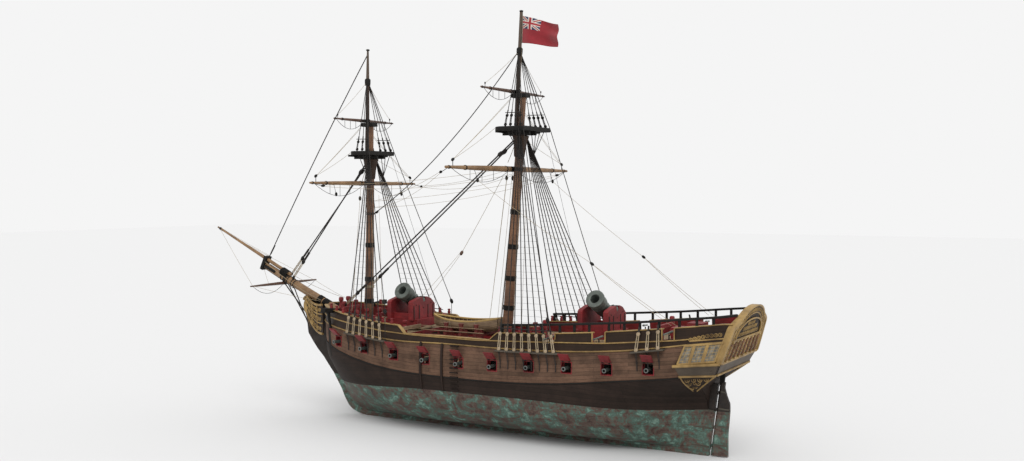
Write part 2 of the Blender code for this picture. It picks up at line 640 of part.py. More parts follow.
def deadeye_pair(base, head_point):
    """Lower and upper deadeye and the lanyard between them, leaning along the shroud."""
    base = np.array(base, float)
    run = np.array(head_point, float) - base
    run = run / np.linalg.norm(run)
    along = np.cross(run, (0.0, 1.0, 0.0))
    along = along / np.linalg.norm(along)
    out = np.cross(along, run)
    outline = []
    for centre, first, last in ((0.14, 125, 415), (1.13, 305, 595)):
        for a in np.linspace(math.radians(first), math.radians(last), 7):
            outline.append((0.13 * math.cos(a), centre + 0.13 * math.sin(a)))
    rings = []
    for d in (-0.055, 0.055):
        rings.append([tuple(base + along * a + run * h + out * d) for a, h in outline])
    return loft(rings)


channel_parts, eye_parts = [], []
for x0, x1, count, mast_x, mast_z in CHANNELS:
    for side in (1, -1):
        xs = np.linspace(x0, x1, 6)
        rings = []
        for x in xs:
            z1 = rail_z(x) - 0.06
            y0 = hull_half(x, z1 - 0.05) - 0.08
            rings.append([(x, side * y0, z1 - 0.1), (x, side * (y0 + CHANNEL_OUT + 0.08), z1 - 0.1),
                          (x, side * (y0 + CHANNEL_OUT + 0.08), z1), (x, side * y0, z1)])
        channel_parts.append(loft(rings))
        for k in range(count):
            x = x0 + (x1 - x0) * (k + 0.5) / count
            z1 = rail_z(x) - 0.06
            y0 = hull_half(x, z1 - 0.05)
            eye_parts.append(deadeye_pair((x, side * (y0 + CHANNEL_OUT - 0.1), z1 - 0.06),
                                          (mast_x, side * 0.3, mast_z)))
combine(topsides, piece("channel_tool", join(*channel_parts), BLACK, cutter=True), "UNION")
combine(topsides, piece("deadeye_tool", join(*eye_parts), BLACK, cutter=True), "UNION")


# Masts
TRUCK_R = 0.13


def mast_x(m, z):
    """X of a lower mast's axis at height z."""
    return m["at"] + m["rake"] * z


def topmast_x(m, z):
    """X of a topmast's axis, which stands close ahead of the masthead from its heel up."""
    heel = m["top"] - 0.35
    return mast_x(m, heel) + m["low"] * 0.55 + m["high"] + 0.012 + m["top_rake"] * (z - heel)


def mast_radius(m, z):
    """A lower mast tapers to the hounds and is slimmer above them."""
    return float(np.interp(z, (m["foot"], (m["foot"] + m["top"]) / 2, m["top"] - 1.2, m["top"] - 0.45),
                           m["low"] * np.array((1.0, 0.91, 0.785, 0.55))))


def topmast_radius(m, z):
    return float(np.interp(z, (m["cap"], m["head"]), (m["high"], m["high"] * 0.83)))


FORE["foot"] = PARTNER_Z + GAP - FORE["low"] * FORE["rake"]
MAIN["foot"] = WAIST_FLOOR + 0.15 + 3 * GAP - MAIN["low"] * MAIN["rake"]


def mast(word, m):
    """Lower mast with its cap, top platform with trestletrees, and topmast ahead of the masthead."""
    top, cap, head, pole = m["top"], m["cap"], m["head"], m["pole"]
    low = [m["foot"], (m["foot"] + top) / 2, top - 1.2, top - 0.45, cap]
    lower_obj = piece(word + "mast", spar([(mast_x(m, z), 0.0, z) for z in low], [mast_radius(m, z) for z in low],
                                          16), SPAR_WOOD)
    cap_block = block(mast_x(m, cap) - 0.34, topmast_x(m, cap) + 0.36, -0.32, 0.32, cap - 0.02, cap + 0.26)
    combine(lower_obj, piece(word + "mast_cap_tool", cap_block, BLACK, cutter=True), "UNION")
    run = [(top - 0.35, m["high"]), (cap, m["high"]), (head, m["high"] * 0.83), (head + 0.05, 0.12),
           (pole, m["tip"]), (pole + 0.02, TRUCK_R), (pole + 0.12, TRUCK_R)]
    piece(word + "_topmast", spar([(topmast_x(m, z), 0.0, z) for z, r in run], [r for z, r in run], 12), SPAR_WOOD)
    hole = spar([(topmast_x(m, z), 0.0, z) for z in (cap - 0.4, cap + 0.6)], [m["high"] + 2 * GAP] * 2, 12)
    combine(lower_obj, piece(word + "mast_cap_hole", hole, BLACK, cutter=True))
    # The top: a platform square aft and round ahead, on trestletrees
    x, half = mast_x(m, top), m["platform"]
    rim = [(x - 0.66 * half, -half), (x - 0.66 * half, half)]
    rim += [(x + half * (0.2 + 0.66 * math.sin(a)), half * math.cos(a)) for a in np.linspace(0, math.pi, 9)]
    top_obj = piece(word + "_top", loft([[(px, py, z) for px, py in rim] for z in (top - 0.26, top + 0.04)]), BLACK)
    tree = m["low"] * 0.785 + 0.06
    trees = [block(x - 0.9, x + 1.15, min(s * tree, s * (tree + 0.2)), max(s * tree, s * (tree + 0.2)), top - 0.5,
                   top - 0.2) for s in (1, -1)]
    combine(top_obj, piece(word + "_tree_tool", join(*trees), BLACK, cutter=True), "UNION")
    through = join(spar([(mast_x(m, z), 0.0, z) for z in (top - 0.8, top - 0.45, cap)],
                        [mast_radius(m, z) + 2 * GAP for z in (top - 0.8, top - 0.45, cap)], 16),
                   spar([(topmast_x(m, z), 0.0, z) for z in (top - 1.0, top + 1.0)], [m["high"] + 2 * GAP] * 2, 12))
    combine(top_obj, piece(word + "_top_hole", through, BLACK, cutter=True))


mast("fore", FORE)
mast("main", MAIN)

# Yards, square to the keel, each on a collar round its mast
YARDS = (("fore_yard", FORE, 16.89, 6.28, 0.16, False), ("fore_topsail_yard", FORE, 21.41, 3.54, 0.11, True),
         ("main_yard", MAIN, 17.8, 8.26, 0.19, False), ("main_topsail_yard", MAIN, 22.98, 4.35, 0.12, True))
for name, m, z, half, radius, upper in YARDS:
    centre_x = topmast_x if upper else mast_x
    grip = (topmast_radius if upper else mast_radius)(m, z - 0.12) + 0.001
    x = centre_x(m, z)
    run = [(-1.0, 0.42), (-0.6, 0.8), (-0.2, 1.0), (0.2, 1.0), (0.6, 0.8), (1.0, 0.42)]
    body = spar([(x + grip + 0.012 + radius, half * t, z) for t, r in run], [radius * r for t, r in run], 10)
    obj = piece(name, body, SPAR_WOOD, pivot=(x, 0.0, z))
    ring = collar((centre_x(m, z - 0.12), 0.0, z - 0.12), (centre_x(m, z + 0.12), 0.0, z + 0.12), grip, grip + 0.06,
                  12 if upper else 16)
    combine(obj, piece(name + "_collar_tool", ring, BLACK, cutter=True), "UNION")

# Bowsprit, its cap, the jibboom above it and the spritsail yard below it
sprit = np.array((BOWSPRIT_B[0] - BOWSPRIT_A[0], 0.0, BOWSPRIT_B[1] - BOWSPRIT_A[1]))
sprit = sprit / np.linalg.norm(sprit)
lift = np.array((-sprit[2], 0.0, sprit[0]))
foot = np.array((BOWSPRIT_A[0], 0.0, BOWSPRIT_A[1]))
end = np.array((BOWSPRIT_B[0], 0.0, BOWSPRIT_B[1]))
length = float(np.linalg.norm(end - foot))
bow_obj = piece("bowsprit", spar([foot, foot + sprit * length * 0.55, end], [0.31, 0.29, 0.22], 16), SPAR_WOOD)
heel_cut = piece("sprit_cutter", spar([foot - sprit * 3 * GAP, foot + sprit * length * 0.55],
                                      [0.31 + 3 * GAP, 0.29 + 3 * GAP], 16), SPAR_WOOD, cutter=True)
combine(fore_deck, heel_cut)
combine(head_obj, heel_cut)
boom_lift = 0.22 + 0.13 + 0.15
boom_end = np.array((JIBBOOM_B[0], 0.0, JIBBOOM_B[1]))
cap_tool = piece("bowsprit_cap_tool",
                 frame_block(end, (sprit, (0.0, 1.0, 0.0), lift), (-0.12, -0.33, -0.36),
                             (0.14, 0.33, boom_lift + 0.24)), BLACK, cutter=True)
combine(bow_obj, cap_tool, "UNION")
boom_at_cap = end + lift * boom_lift
boom_foot = boom_at_cap - 2.6 * (boom_end - boom_at_cap) / np.linalg.norm(boom_end - boom_at_cap)
boom_run = (boom_end - boom_foot) / np.linalg.norm(boom_end - boom_foot)
boom_len = float(np.linalg.norm(boom_end - boom_foot))
piece("jibboom", spar([boom_foot, boom_foot + boom_run * 3.0, boom_end], [0.13, 0.13, 0.065], 12), SPAR_WOOD)
combine(bow_obj, piece("boom_hole", spar([boom_foot + boom_run * 1.8, boom_foot + boom_run * 3.6],
                                         [0.13 + 2 * GAP, 0.13 + 2 * GAP], 12), BLACK, cutter=True))
sprit_at = 0.72
mid = foot + sprit * length * sprit_at
mid_r = 0.29 - 0.07 * (sprit_at - 0.1 / length - 0.55) / 0.45 + 0.001
drop = mid - lift * (mid_r + 0.05 + 0.09)
spritsail = piece("spritsail_yard", spar([drop + np.array((0.0, 3.75 * t, 0.0)) for t in
                                          (-1, -0.6, -0.2, 0.2, 0.6, 1)],
                                         [0.05, 0.09, 0.115, 0.115, 0.09, 0.05], 10), SPAR_WOOD,
                  pivot=tuple(mid))
combine(spritsail, piece("sprit_saddle_tool", saddle(mid - sprit * 0.1, mid + sprit * 0.1, mid_r, mid_r + 0.07,
                                                     -lift), BLACK, cutter=True), "UNION")


# Stays: the twin fore stays and twin main stays, with their hearts
def rope_run(points, radius, sides=6):
    return spar(points, [radius] * len(points), sides)


def grown_cutters(name):
    """The bowsprit, foremast and bitts, a touch larger, to end the stays against."""
    sprit_body = spar([foot, foot + sprit * length * 0.55, end], [0.31 + 2 * GAP, 0.29 + 2 * GAP, 0.22 + 2 * GAP], 16)
    fore_body = spar([(mast_x(FORE, z), 0, z) for z in (7.4, 13.0)],
                     [mast_radius(FORE, z) + 2 * GAP for z in (7.4, 13.0)], 16)
    z = rail_z(27.6) + DECK_THICK
    bitt = block(27.47 - GAP, 27.73, 0.57 - GAP, 0.83 + GAP, z, z + 1.3 + GAP)
    return piece(name, join(sprit_body, fore_body, bitt), ROPE, cutter=True)


def stay(name, m, ends, radius):
    """A collar round the mast under the trestletrees with two ropes down from it."""
    z = m["top"] - 0.66
    r = mast_radius(m, z - 0.08) + 2 * GAP
    obj = piece(name, collar((mast_x(m, z - 0.08), 0, z - 0.08), (mast_x(m, z + 0.08), 0, z + 0.08), r, r + 0.09),
                ROPE)
    for k, (y, b) in enumerate(ends):
        a = (mast_x(m, z) + math.sqrt((r + 0.05) ** 2 - y * y), y, z)
        combine(obj, piece("%s_rope_%d" % (name, k), rope_run([a, b], radius), ROPE, cutter=True), "UNION")
    combine(obj, grown_cutters(name + "_ends"))


stay("fore_stays", FORE, [(y, foot + sprit * length * reach + np.array((0.0, y * 1.6, 0.0)))
                          for y, reach in ((0.13, 0.63), (-0.13, 0.70))], 0.045)
stay("main_stays", MAIN, [(0.15, (27.6, 0.7, 7.95)), (-0.15, (FORE_X, -0.1, 9.4))], 0.05)


# Mortars on their beds
FORE_PIN_Z = 8.65
AFT_PIN_Z = 8.75


def mortar(name, x, deck_z, trunnion_z):
    yaw = (x, 0.0, deck_z)
    bed = block(x - 1.35, x + 1.35, -1.2, 1.2, deck_z + GAP, deck_z + 0.55)
    bed_obj = piece(name + "_bed", bed, RED, pivot=yaw)
    cheek = [(-1.45, deck_z + 0.5), (1.4, deck_z + 0.5), (1.4, trunnion_z - 0.12), (1.25, trunnion_z),
             (0.3, trunnion_z + 0.2), (-0.5, trunnion_z + 0.2), (-0.95, trunnion_z + 0.05), (-1.45, trunnion_z - 0.35)]
    cheeks = []
    for s in (1, -1):
        xs = (x + s * 0.72, x + s * 1.08)
        cheeks.append(loft([[(px, y, z) for y, z in cheek] for px in xs]))
    combine(bed_obj, piece(name + "_cheek_tool", join(*cheeks), RED, cutter=True), "UNION")
    pin = np.array((x, -0.1, trunnion_z))
    hole = spar([pin + np.array((-1.2, 0, 0)), pin + np.array((1.2, 0, 0))], [0.1555, 0.1555], 12, 0.5)
    combine(bed_obj, piece(name + "_pin_hole", hole, RED, cutter=True))
    tilt = math.radians(31.0)
    run = np.array((0.0, math.cos(tilt), math.sin(tilt)))
    steps = ((-0.62, 0.12), (-0.55, 0.34), (-0.3, 0.48), (0.1, 0.50), (0.5, 0.50), (0.55, 0.56), (1.15, 0.56),
             (1.2, 0.62), (1.4, 0.62))
    barrel = spar([pin + run * d for d, r in steps], [r for d, r in steps], 16)
    obj = piece(name, barrel, IRON, pivot=tuple(pin))
    bore = spar([pin + run * 0.5, pin + run * 1.6], [0.3, 0.3], 16)
    combine(obj, piece(name + "_bore", bore, IRON, cutter=True))
    arms = spar([pin + np.array((-1.06, 0, 0)), pin + np.array((1.06, 0, 0))], [0.15, 0.15], 12)
    combine(obj, piece(name + "_arms", arms, IRON, cutter=True), "UNION")


mortar("mortar_fore", MORTAR_FORE[0], MORTAR_FORE[1], FORE_PIN_Z)
mortar("mortar_aft", MORTAR_AFT[0], MORTAR_AFT[1], AFT_PIN_Z)

# Boat over the waist, on three skid beams between posts
BOAT_AFT, BOAT_FORE, BOAT_Z = 14.85, 20.2, 6.75
BOAT_HALF = 0.95


def boat_ring(t, inset):
    x = BOAT_AFT + (BOAT_FORE - BOAT_AFT) * t
    narrow = abs(2 * t - 0.92) ** 2.6 * 0.62 if t < 0.46 else ((t - 0.46) / 0.54) ** 2.4 * 0.93
    width = BOAT_HALF * (1 - narrow)
    sheer = BOAT_Z + 0.68 + 0.27 * (2 * t - 1) ** 2
    floor = BOAT_Z + GAP + 0.3 * max(0.0, (t - 0.87) / 0.13) ** 2 + 0.2 * max(0.0, (0.15 - t) / 0.15) ** 2
    depth = sheer - floor
    pts = []
    for k in range(9):
        a = math.pi * (k / 8 - 0.5)
        y = math.sin(a)
        h = 1 - math.cos(a) ** 0.7
        pts.append((x, (width - inset) * math.copysign(abs(y) ** 0.8, y), floor + inset + (depth - inset) * h))
    return pts


def boat_shape():
    ts = [0.0, 0.08, 0.25, 0.46, 0.65, 0.8, 0.9, 0.97, 1.0]
    return loft([boat_ring(t, 0.0) for t in ts])


boat = piece("boat", boat_shape(), PALE)
inner_ts = [0.03, 0.1, 0.25, 0.46, 0.65, 0.8, 0.9]
hollow = []
for t in inner_ts:
    ring = boat_ring(t, 0.07)
    ring[0] = (ring[0][0], ring[0][1], ring[0][2] + 0.3)
    ring[-1] = (ring[-1][0], ring[-1][1], ring[-1][2] + 0.3)
    hollow.append(ring)
combine(boat, piece("boat_hollow", loft(hollow), PALE, cutter=True))

skid_parts, post_parts = [], []
for x in (16.0, 17.2, 18.4):
    top = BOAT_Z
    skid_parts.append(block(x - 0.13, x + 0.13, -1.5, 1.5, top - 0.28, top))
    for y in (-1.3, 1.3):
        post_parts.append(block(x - 0.11, x + 0.11, y - 0.11, y + 0.11, WAIST_FLOOR + 0.15 + 2 * GAP, top + 0.5))
skids = piece("boat_skids", block(15.6, 19.9, -1.42, -1.18, BOAT_Z - 0.5, BOAT_Z - 0.26), RED)
for k, more in enumerate((join(*skid_parts), block(15.6, 19.9, 1.18, 1.42, BOAT_Z - 0.5, BOAT_Z - 0.26),
                          join(*post_parts))):
    combine(skids, piece("skid_tool_%d" % k, more, RED, cutter=True), "UNION")

# Open rails above the quarterdeck bulwarks
rail_top = spline((-1.5, 9.0), (-0.6, 8.91), (3.2, 8.50), (5.8, 8.28), (9.9, 7.97), (12.8, 7.80))
for side in (1, -1):
    rail_posts = []
    xs = [-1.4, 0.4, 3.0, 6.0, 9.5, 12.7]
    y_at = lambda x: hull_half(x, cap_z(x)) - BULWARK_THICK / 2
    rail_bar = loft([[(x, side * (y_at(x) + dy), rail_top(x) + dz) for dy, dz in
                      ((-0.07, -0.09), (0.07, -0.09), (0.07, 0.0), (-0.07, 0.0))] for x in xs])
    for x in (-1.2, 0.6, 2.2, 3.6, 4.9, 6.8, 8.2, 10.2, 11.5, 12.6):
        rail_posts.append(block(x - 0.05, x + 0.05, side * y_at(x) - 0.045, side * y_at(x) + 0.045,
                                max(cap_z(x - 0.05), cap_z(x + 0.05)) + 4 * GAP, rail_top(x) - 0.03))
    rail = piece("open_rail_" + ("port" if side > 0 else "starboard"), rail_bar, BLACK)
    combine(rail, piece("rail_posts_%d" % (side + 1), join(*rail_posts), BLACK, cutter=True), "UNION")

# Bitts and knightheads
bitt_parts = []
for x, y in ((24.4, 0.75), (24.4, -0.75), (27.6, 0.7), (27.6, -0.7)):
    z = rail_z(x) + DECK_THICK
    bitt_parts.append(block(x - 0.13, x + 0.13, y - 0.13, y + 0.13, z, z + 1.3))
combine(fore_deck, piece("bitt_tool", join(*bitt_parts), RED, cutter=True), "UNION")

# Flag at the main masthead, a slightly waved sheet whose hoist stands against the pole
FLAG_FLY = 2.75
flag_rings = []
for s in np.linspace(0.0, 1.0, 9):
    y = 0.16 * math.sin(s * 7.0)
    ring = []
    for low, high, dy in ((26.2, None, -0.01), (26.2, None, 0.01), (None, 28.0, 0.01), (None, 28.0, -0.01)):
        z = low - 0.42 * s if low else high - 0.78 * s
        pole_r = float(np.interp(z, (25.86, 28.26), (0.12, MAIN["tip"])))
        hoist_x = topmast_x(MAIN, z) - pole_r - 2 * GAP
        ring.append((hoist_x - s * FLAG_FLY, y + dy, z))
    flag_rings.append(ring)
piece("flag", loft(flag_rings), CLOTH)
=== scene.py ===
"""A two-masted sailing ship of the 1740s with two deck mortars and a third channel aft, on a pale floor.

Places are given in full-size metres: X forward from the heel of the sternpost, Y to port, Z up from
the underside of the keel. The model is half that size, about a point amidships at the waterline.
"""
import math

import bmesh
import bpy
import numpy as np
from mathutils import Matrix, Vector


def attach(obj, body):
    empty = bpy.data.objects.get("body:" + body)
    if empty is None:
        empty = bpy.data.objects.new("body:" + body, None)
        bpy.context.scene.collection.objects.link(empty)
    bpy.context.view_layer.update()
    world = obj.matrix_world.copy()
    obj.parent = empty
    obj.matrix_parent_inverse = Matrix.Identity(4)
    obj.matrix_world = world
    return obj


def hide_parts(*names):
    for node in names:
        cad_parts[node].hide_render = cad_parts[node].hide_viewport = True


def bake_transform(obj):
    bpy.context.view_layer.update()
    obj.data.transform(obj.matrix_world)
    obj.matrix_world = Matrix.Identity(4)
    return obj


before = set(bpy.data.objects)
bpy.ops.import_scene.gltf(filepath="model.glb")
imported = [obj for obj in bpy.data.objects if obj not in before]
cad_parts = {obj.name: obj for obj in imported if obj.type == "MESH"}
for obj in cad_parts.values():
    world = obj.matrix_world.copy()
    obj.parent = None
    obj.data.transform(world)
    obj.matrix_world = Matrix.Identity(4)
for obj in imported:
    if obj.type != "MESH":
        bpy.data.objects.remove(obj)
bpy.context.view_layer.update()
ORIGIN = np.array((13.0, 0.0, 3.0))
SCALE = 0.5
MIDSHIP_AFT, MIDSHIP_FORE = 9.0, 19.0  # the parallel middle body
KEEL_TOP = 0.3406
SHEATHED_TO = -0.09  # the copper ends here, in metres of the model from the waterline

# Camera: at the photograph's place, 16 m up off the port quarter, looking a little down
eye = bpy.data.cameras.new("eye")
eye.lens, eye.sensor_width, eye.clip_end = 39.38, 36.0, 400.0
camera = bpy.data.objects.new("eye", eye)
camera.location = (-17.964, 32.927, 6.639)
turn, dip = math.radians(29.256), math.radians(1.979)
sight = Vector((math.sin(turn) * math.cos(dip), -math.cos(turn) * math.cos(dip), -math.sin(dip)))
camera.rotation_mode = "QUATERNION"
camera.rotation_quaternion = sight.to_track_quat("-Z", "Y")
bpy.context.scene.collection.objects.link(camera)
bpy.context.scene.camera = camera


# Studio: pale floor under the keel, an even pale sky, a broad key light and a softer fill
def tint(code):
    """An sRGB hex colour as linear light."""
    c = np.array([int(code[i:i + 2], 16) for i in (1, 3, 5)]) / 255.0
    return (*np.where(c <= 0.04045, c / 12.92, ((c + 0.055) / 1.055) ** 2.4), 1.0)


def add(mat, kind, inputs=None, stops=None, **settings):
    """One shader node with its settings; an input takes a value or another node's output."""
    made = mat.node_tree.nodes.new("ShaderNode" + kind)
    for key, value in settings.items():
        setattr(made, key, value)
    for key, value in (inputs or {}).items():
        if isinstance(value, bpy.types.NodeSocket):
            mat.node_tree.links.new(value, made.inputs[key])
        else:
            made.inputs[key].default_value = value
    if stops:
        ramp = made.color_ramp
        while len(ramp.elements) < len(stops):
            ramp.elements.new(0.5)
        for element, (place, colour) in zip(ramp.elements, stops):
            element.position = place
            element.color = tint(colour)
    return made


def blank(name):
    """An empty node material with its output, which the caller fills."""
    mat = bpy.data.materials.new(name)
    mat.use_nodes = True
    mat.node_tree.nodes.clear()
    return mat


world = bpy.data.worlds.new("studio")
world.use_nodes = True
world.node_tree.nodes["Background"].inputs["Color"].default_value = tint("#f5f5f5")
world.node_tree.nodes["Background"].inputs["Strength"].default_value = 1.0
bpy.context.scene.world = world
bpy.context.scene.view_settings.view_transform = "Standard"

card = blank("matt_studio_card")
shade = add(card, "BsdfDiffuse", {"Color": (0.70, 0.70, 0.70, 1.0), "Roughness": 0.0})
add(card, "OutputMaterial", {"Surface": shade.outputs[0]})
floor_mesh = bpy.data.meshes.new("studio_floor")
FLOOR_Z, FLOOR_HALF = -1.5, 180
floor_mesh.from_pydata([(i * FLOOR_HALF, j * FLOOR_HALF, FLOOR_Z)
                        for i, j in ((-1, -1), (1, -1), (1, 1), (-1, 1))], [], [(0, 1, 2, 3)])
floor_mesh.materials.append(card)
floor = bpy.data.objects.new("studio_floor", floor_mesh)
bpy.context.scene.collection.objects.link(floor)
for name, power, angle, aim in (("key", 1.15, 40.0, (0.35, -0.50, -0.79)),
                                ("fill", 0.35, 80.0, (0.75, 0.25, -0.6))):
    lamp = bpy.data.lights.new(name, "SUN")
    lamp.energy, lamp.angle = power, math.radians(angle)
    lamp_object = bpy.data.objects.new(name, lamp)
    lamp_object.rotation_mode = "QUATERNION"
    lamp_object.rotation_quaternion = Vector(aim).to_track_quat("-Z", "Y")
    bpy.context.scene.collection.objects.link(lamp_object)


# Coppered bottom: thin copper sheets nailed over the planking from the keel to the waterline, laid
# in overlapping rows; sea water has turned them brown and verdigris green in large blotches.
def curve(*table):
    """Smooth curve through (x, y) pairs: a cubic between neighbours, level outside its ends."""
    xs, ys = np.array(table, float).T
    slope = np.gradient(ys, xs)

    def value(x):
        x = np.clip(x, xs[0], xs[-1])
        i = np.clip(np.searchsorted(xs, x, side="right") - 1, 0, len(xs) - 2)
        h = xs[i + 1] - xs[i]
        t = (x - xs[i]) / h
        start = (1 + 2 * t) * (1 - t) ** 2 * ys[i] + t * (1 - t) ** 2 * h * slope[i]
        return start + t * t * (3 - 2 * t) * ys[i + 1] + t * t * (t - 1) * h * slope[i + 1]
    return value


mid_half = curve((0.34, 0.3), (0.55, 1.35), (1.0, 2.35), (1.6, 3.08), (2.3, 3.56), (3.1, 3.88),
                 (4.1, 4.08), (5.0, 4.1), (6.3, 3.98), (6.8, 3.85), (7.4, 3.72), (8.7, 3.5))
stem_x = curve((0.34, 26.3), (0.7, 27.0), (1.2, 27.5), (2.3, 28.1), (3.45, 28.55), (4.6, 28.85),
               (5.7, 29.05), (7.0, 29.2), (8.2, 29.3))
stern_x = curve((0.34, 0.40), (2.66, 0.04), (4.0, -0.12), (4.6, -0.32), (4.9, -0.66), (5.4, -1.12),
                (5.9, -1.48), (6.2, -1.6), (7.0, -1.66), (7.89, -1.78), (8.5, -2.3), (9.6, -3.0))
stern_half = curve((0.34, 0.17), (2.6, 0.19), (3.2, 0.3), (3.8, 0.85), (4.3, 1.7), (4.8, 2.5),
                   (5.3, 3.0), (5.8, 3.3), (6.3, 3.43), (7.0, 3.38), (8.0, 3.2), (9.1, 2.95))
copper_z = curve((-0.6, 2.84), (3.8, 2.85), (8.0, 3.08), (14.0, 3.12), (20.0, 3.08), (25.0, 2.75),
                 (28.5, 2.5))
wale_z = curve((-1.8, 5.75), (0.8, 5.21), (4.4, 4.79), (9.7, 4.24), (16.4, 4.08), (21.7, 4.33),
               (26.0, 5.04), (29.1, 5.75))
rail_z = curve((-2.0, 7.6), (0.2, 7.25), (3.5, 6.75), (7.6, 6.40), (12.8, 6.26), (16.4, 6.29),
               (21.5, 6.28), (23.4, 6.43), (25.4, 6.57), (29.3, 7.0))


def hull_half(x, z):
    """Half-breadth at (x, z): full amidships, drawn in by powers of the distance to stem and stern."""
    mid = mid_half(z)
    ahead = np.clip((x - MIDSHIP_FORE) / (stem_x(z) - MIDSHIP_FORE), 0.0, 1.0)
    full = np.clip((z - 0.5) / 4.0, 0.0, 1.0)
    bow = 0.15 + (mid - 0.15) * (1 - ahead ** (1.55 + 1.25 * full)) ** (1.05 - 0.55 * full)
    astern = np.clip((x - stern_x(z)) / (MIDSHIP_AFT - stern_x(z)), 0.0, 1.0)
    full = np.clip((z - 0.6) / 4.4, 0.0, 1.0)
    aft = np.minimum(stern_half(z), mid)
    run = aft + (mid - aft) * (1 - (1 - astern) ** 2.1) ** (2.0 - full)
    return np.where(x > MIDSHIP_FORE, bow, np.where(x < MIDSHIP_AFT, run, mid))


def net(points, ring=False, uv=None):
    """Quads between neighbouring points of a (rows, columns, 3) array; a ring joins the last
    column to the first. The map is the length run along the rows, then along the columns."""
    rows, cols = points.shape[:2]
    i, j = (a.ravel() for a in np.meshgrid(np.arange(rows - 1), np.arange(cols - (not ring)),
                                           indexing="ij"))
    k = (j + 1) % cols
    quads = np.stack([i * cols + j, (i + 1) * cols + j, (i + 1) * cols + k, i * cols + k], -1)
    if uv is None:
        step = np.linalg.norm(np.diff(points, axis=0), axis=2).mean(1)
        wide = np.linalg.norm(np.roll(points, -1, 1) - points, axis=2).max(0)
        u = np.concatenate([[0.0], np.cumsum(step)])
        v = np.concatenate([[0.0], np.cumsum(wide)])
        uv = np.stack(np.broadcast_arrays(u[:, None], v[None, :]), -1) * SCALE
    flat = np.stack([uv[i, j], uv[i + 1, j], uv[i + 1, j + 1], uv[i, j + 1]], 1)
    return points.reshape(-1, 3), quads, flat, 0


def painted(shape, index):
    """The same shape in another of its piece's finishes."""
    return (*shape[:3], index)


def mirrored(shape):
    """The same shape across the centreline."""
    return shape[0] * (1, -1, 1), shape[1][:, ::-1], shape[2][:, ::-1], shape[3]


SIDES = (("port", lambda shape: shape), ("starboard", mirrored))


def pair(*shapes):
    """Shapes of the port side followed by the same on the starboard side."""
    return [*shapes, *map(mirrored, shapes)]


def build(name, shapes, finishes, body="root", stands_for=(), sharp=38.0, bevel=0.0,
          shell=False):
    """Puts shapes into one mesh of the half-size model: doubles are merged, so that seams and poles
    close, faces turned outwards, and edges sharper than an angle kept crisp or rounded off."""
    shapes = list(shapes)
    verts = np.concatenate([s[0] for s in shapes])
    start = np.cumsum([0] + [len(s[0]) for s in shapes])
    quads = np.concatenate([s[1] + o for s, o in zip(shapes, start)])
    mesh = bpy.data.meshes.new(name)
    mesh.vertices.add(len(verts))
    mesh.vertices.foreach_set("co", ((verts - ORIGIN) * SCALE).ravel())
    mesh.loops.add(4 * len(quads))
    mesh.loops.foreach_set("vertex_index", quads.ravel())
    mesh.polygons.add(len(quads))
    mesh.polygons.foreach_set("loop_start", np.arange(len(quads)) * 4)
    mesh.update(calc_edges=True)
    mesh.uv_layers.new(name="UVMap").uv.foreach_set("vector",
                                                    np.concatenate([s[2] for s in shapes]).ravel())
    mesh.polygons.foreach_set("material_index", np.concatenate([np.full(len(s[1]), s[3]) for s in shapes]))
    for finish in finishes if isinstance(finishes, (list, tuple)) else [finishes]:
        mesh.materials.append(finish)
    bm = bmesh.new()
    bm.from_mesh(mesh)
    bmesh.ops.remove_doubles(bm, verts=bm.verts, dist=1e-5)
    if not shell:
        bmesh.ops.recalc_face_normals(bm, faces=bm.faces)
    bm.to_mesh(mesh)
    bm.free()
    mesh.validate()
    mesh.shade_smooth()
    mesh.set_sharp_from_angle(angle=math.radians(sharp))
    made = bpy.data.objects.new(name, mesh)
    bpy.context.scene.collection.objects.link(made)
    if bevel:
        edge = made.modifiers.new("worn_edge", "BEVEL")
        edge.width, edge.segments, edge.limit_method = bevel * SCALE, 1, "ANGLE"
    if body:
        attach(made, body)
    if stands_for:
        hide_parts(*stands_for)
    return made


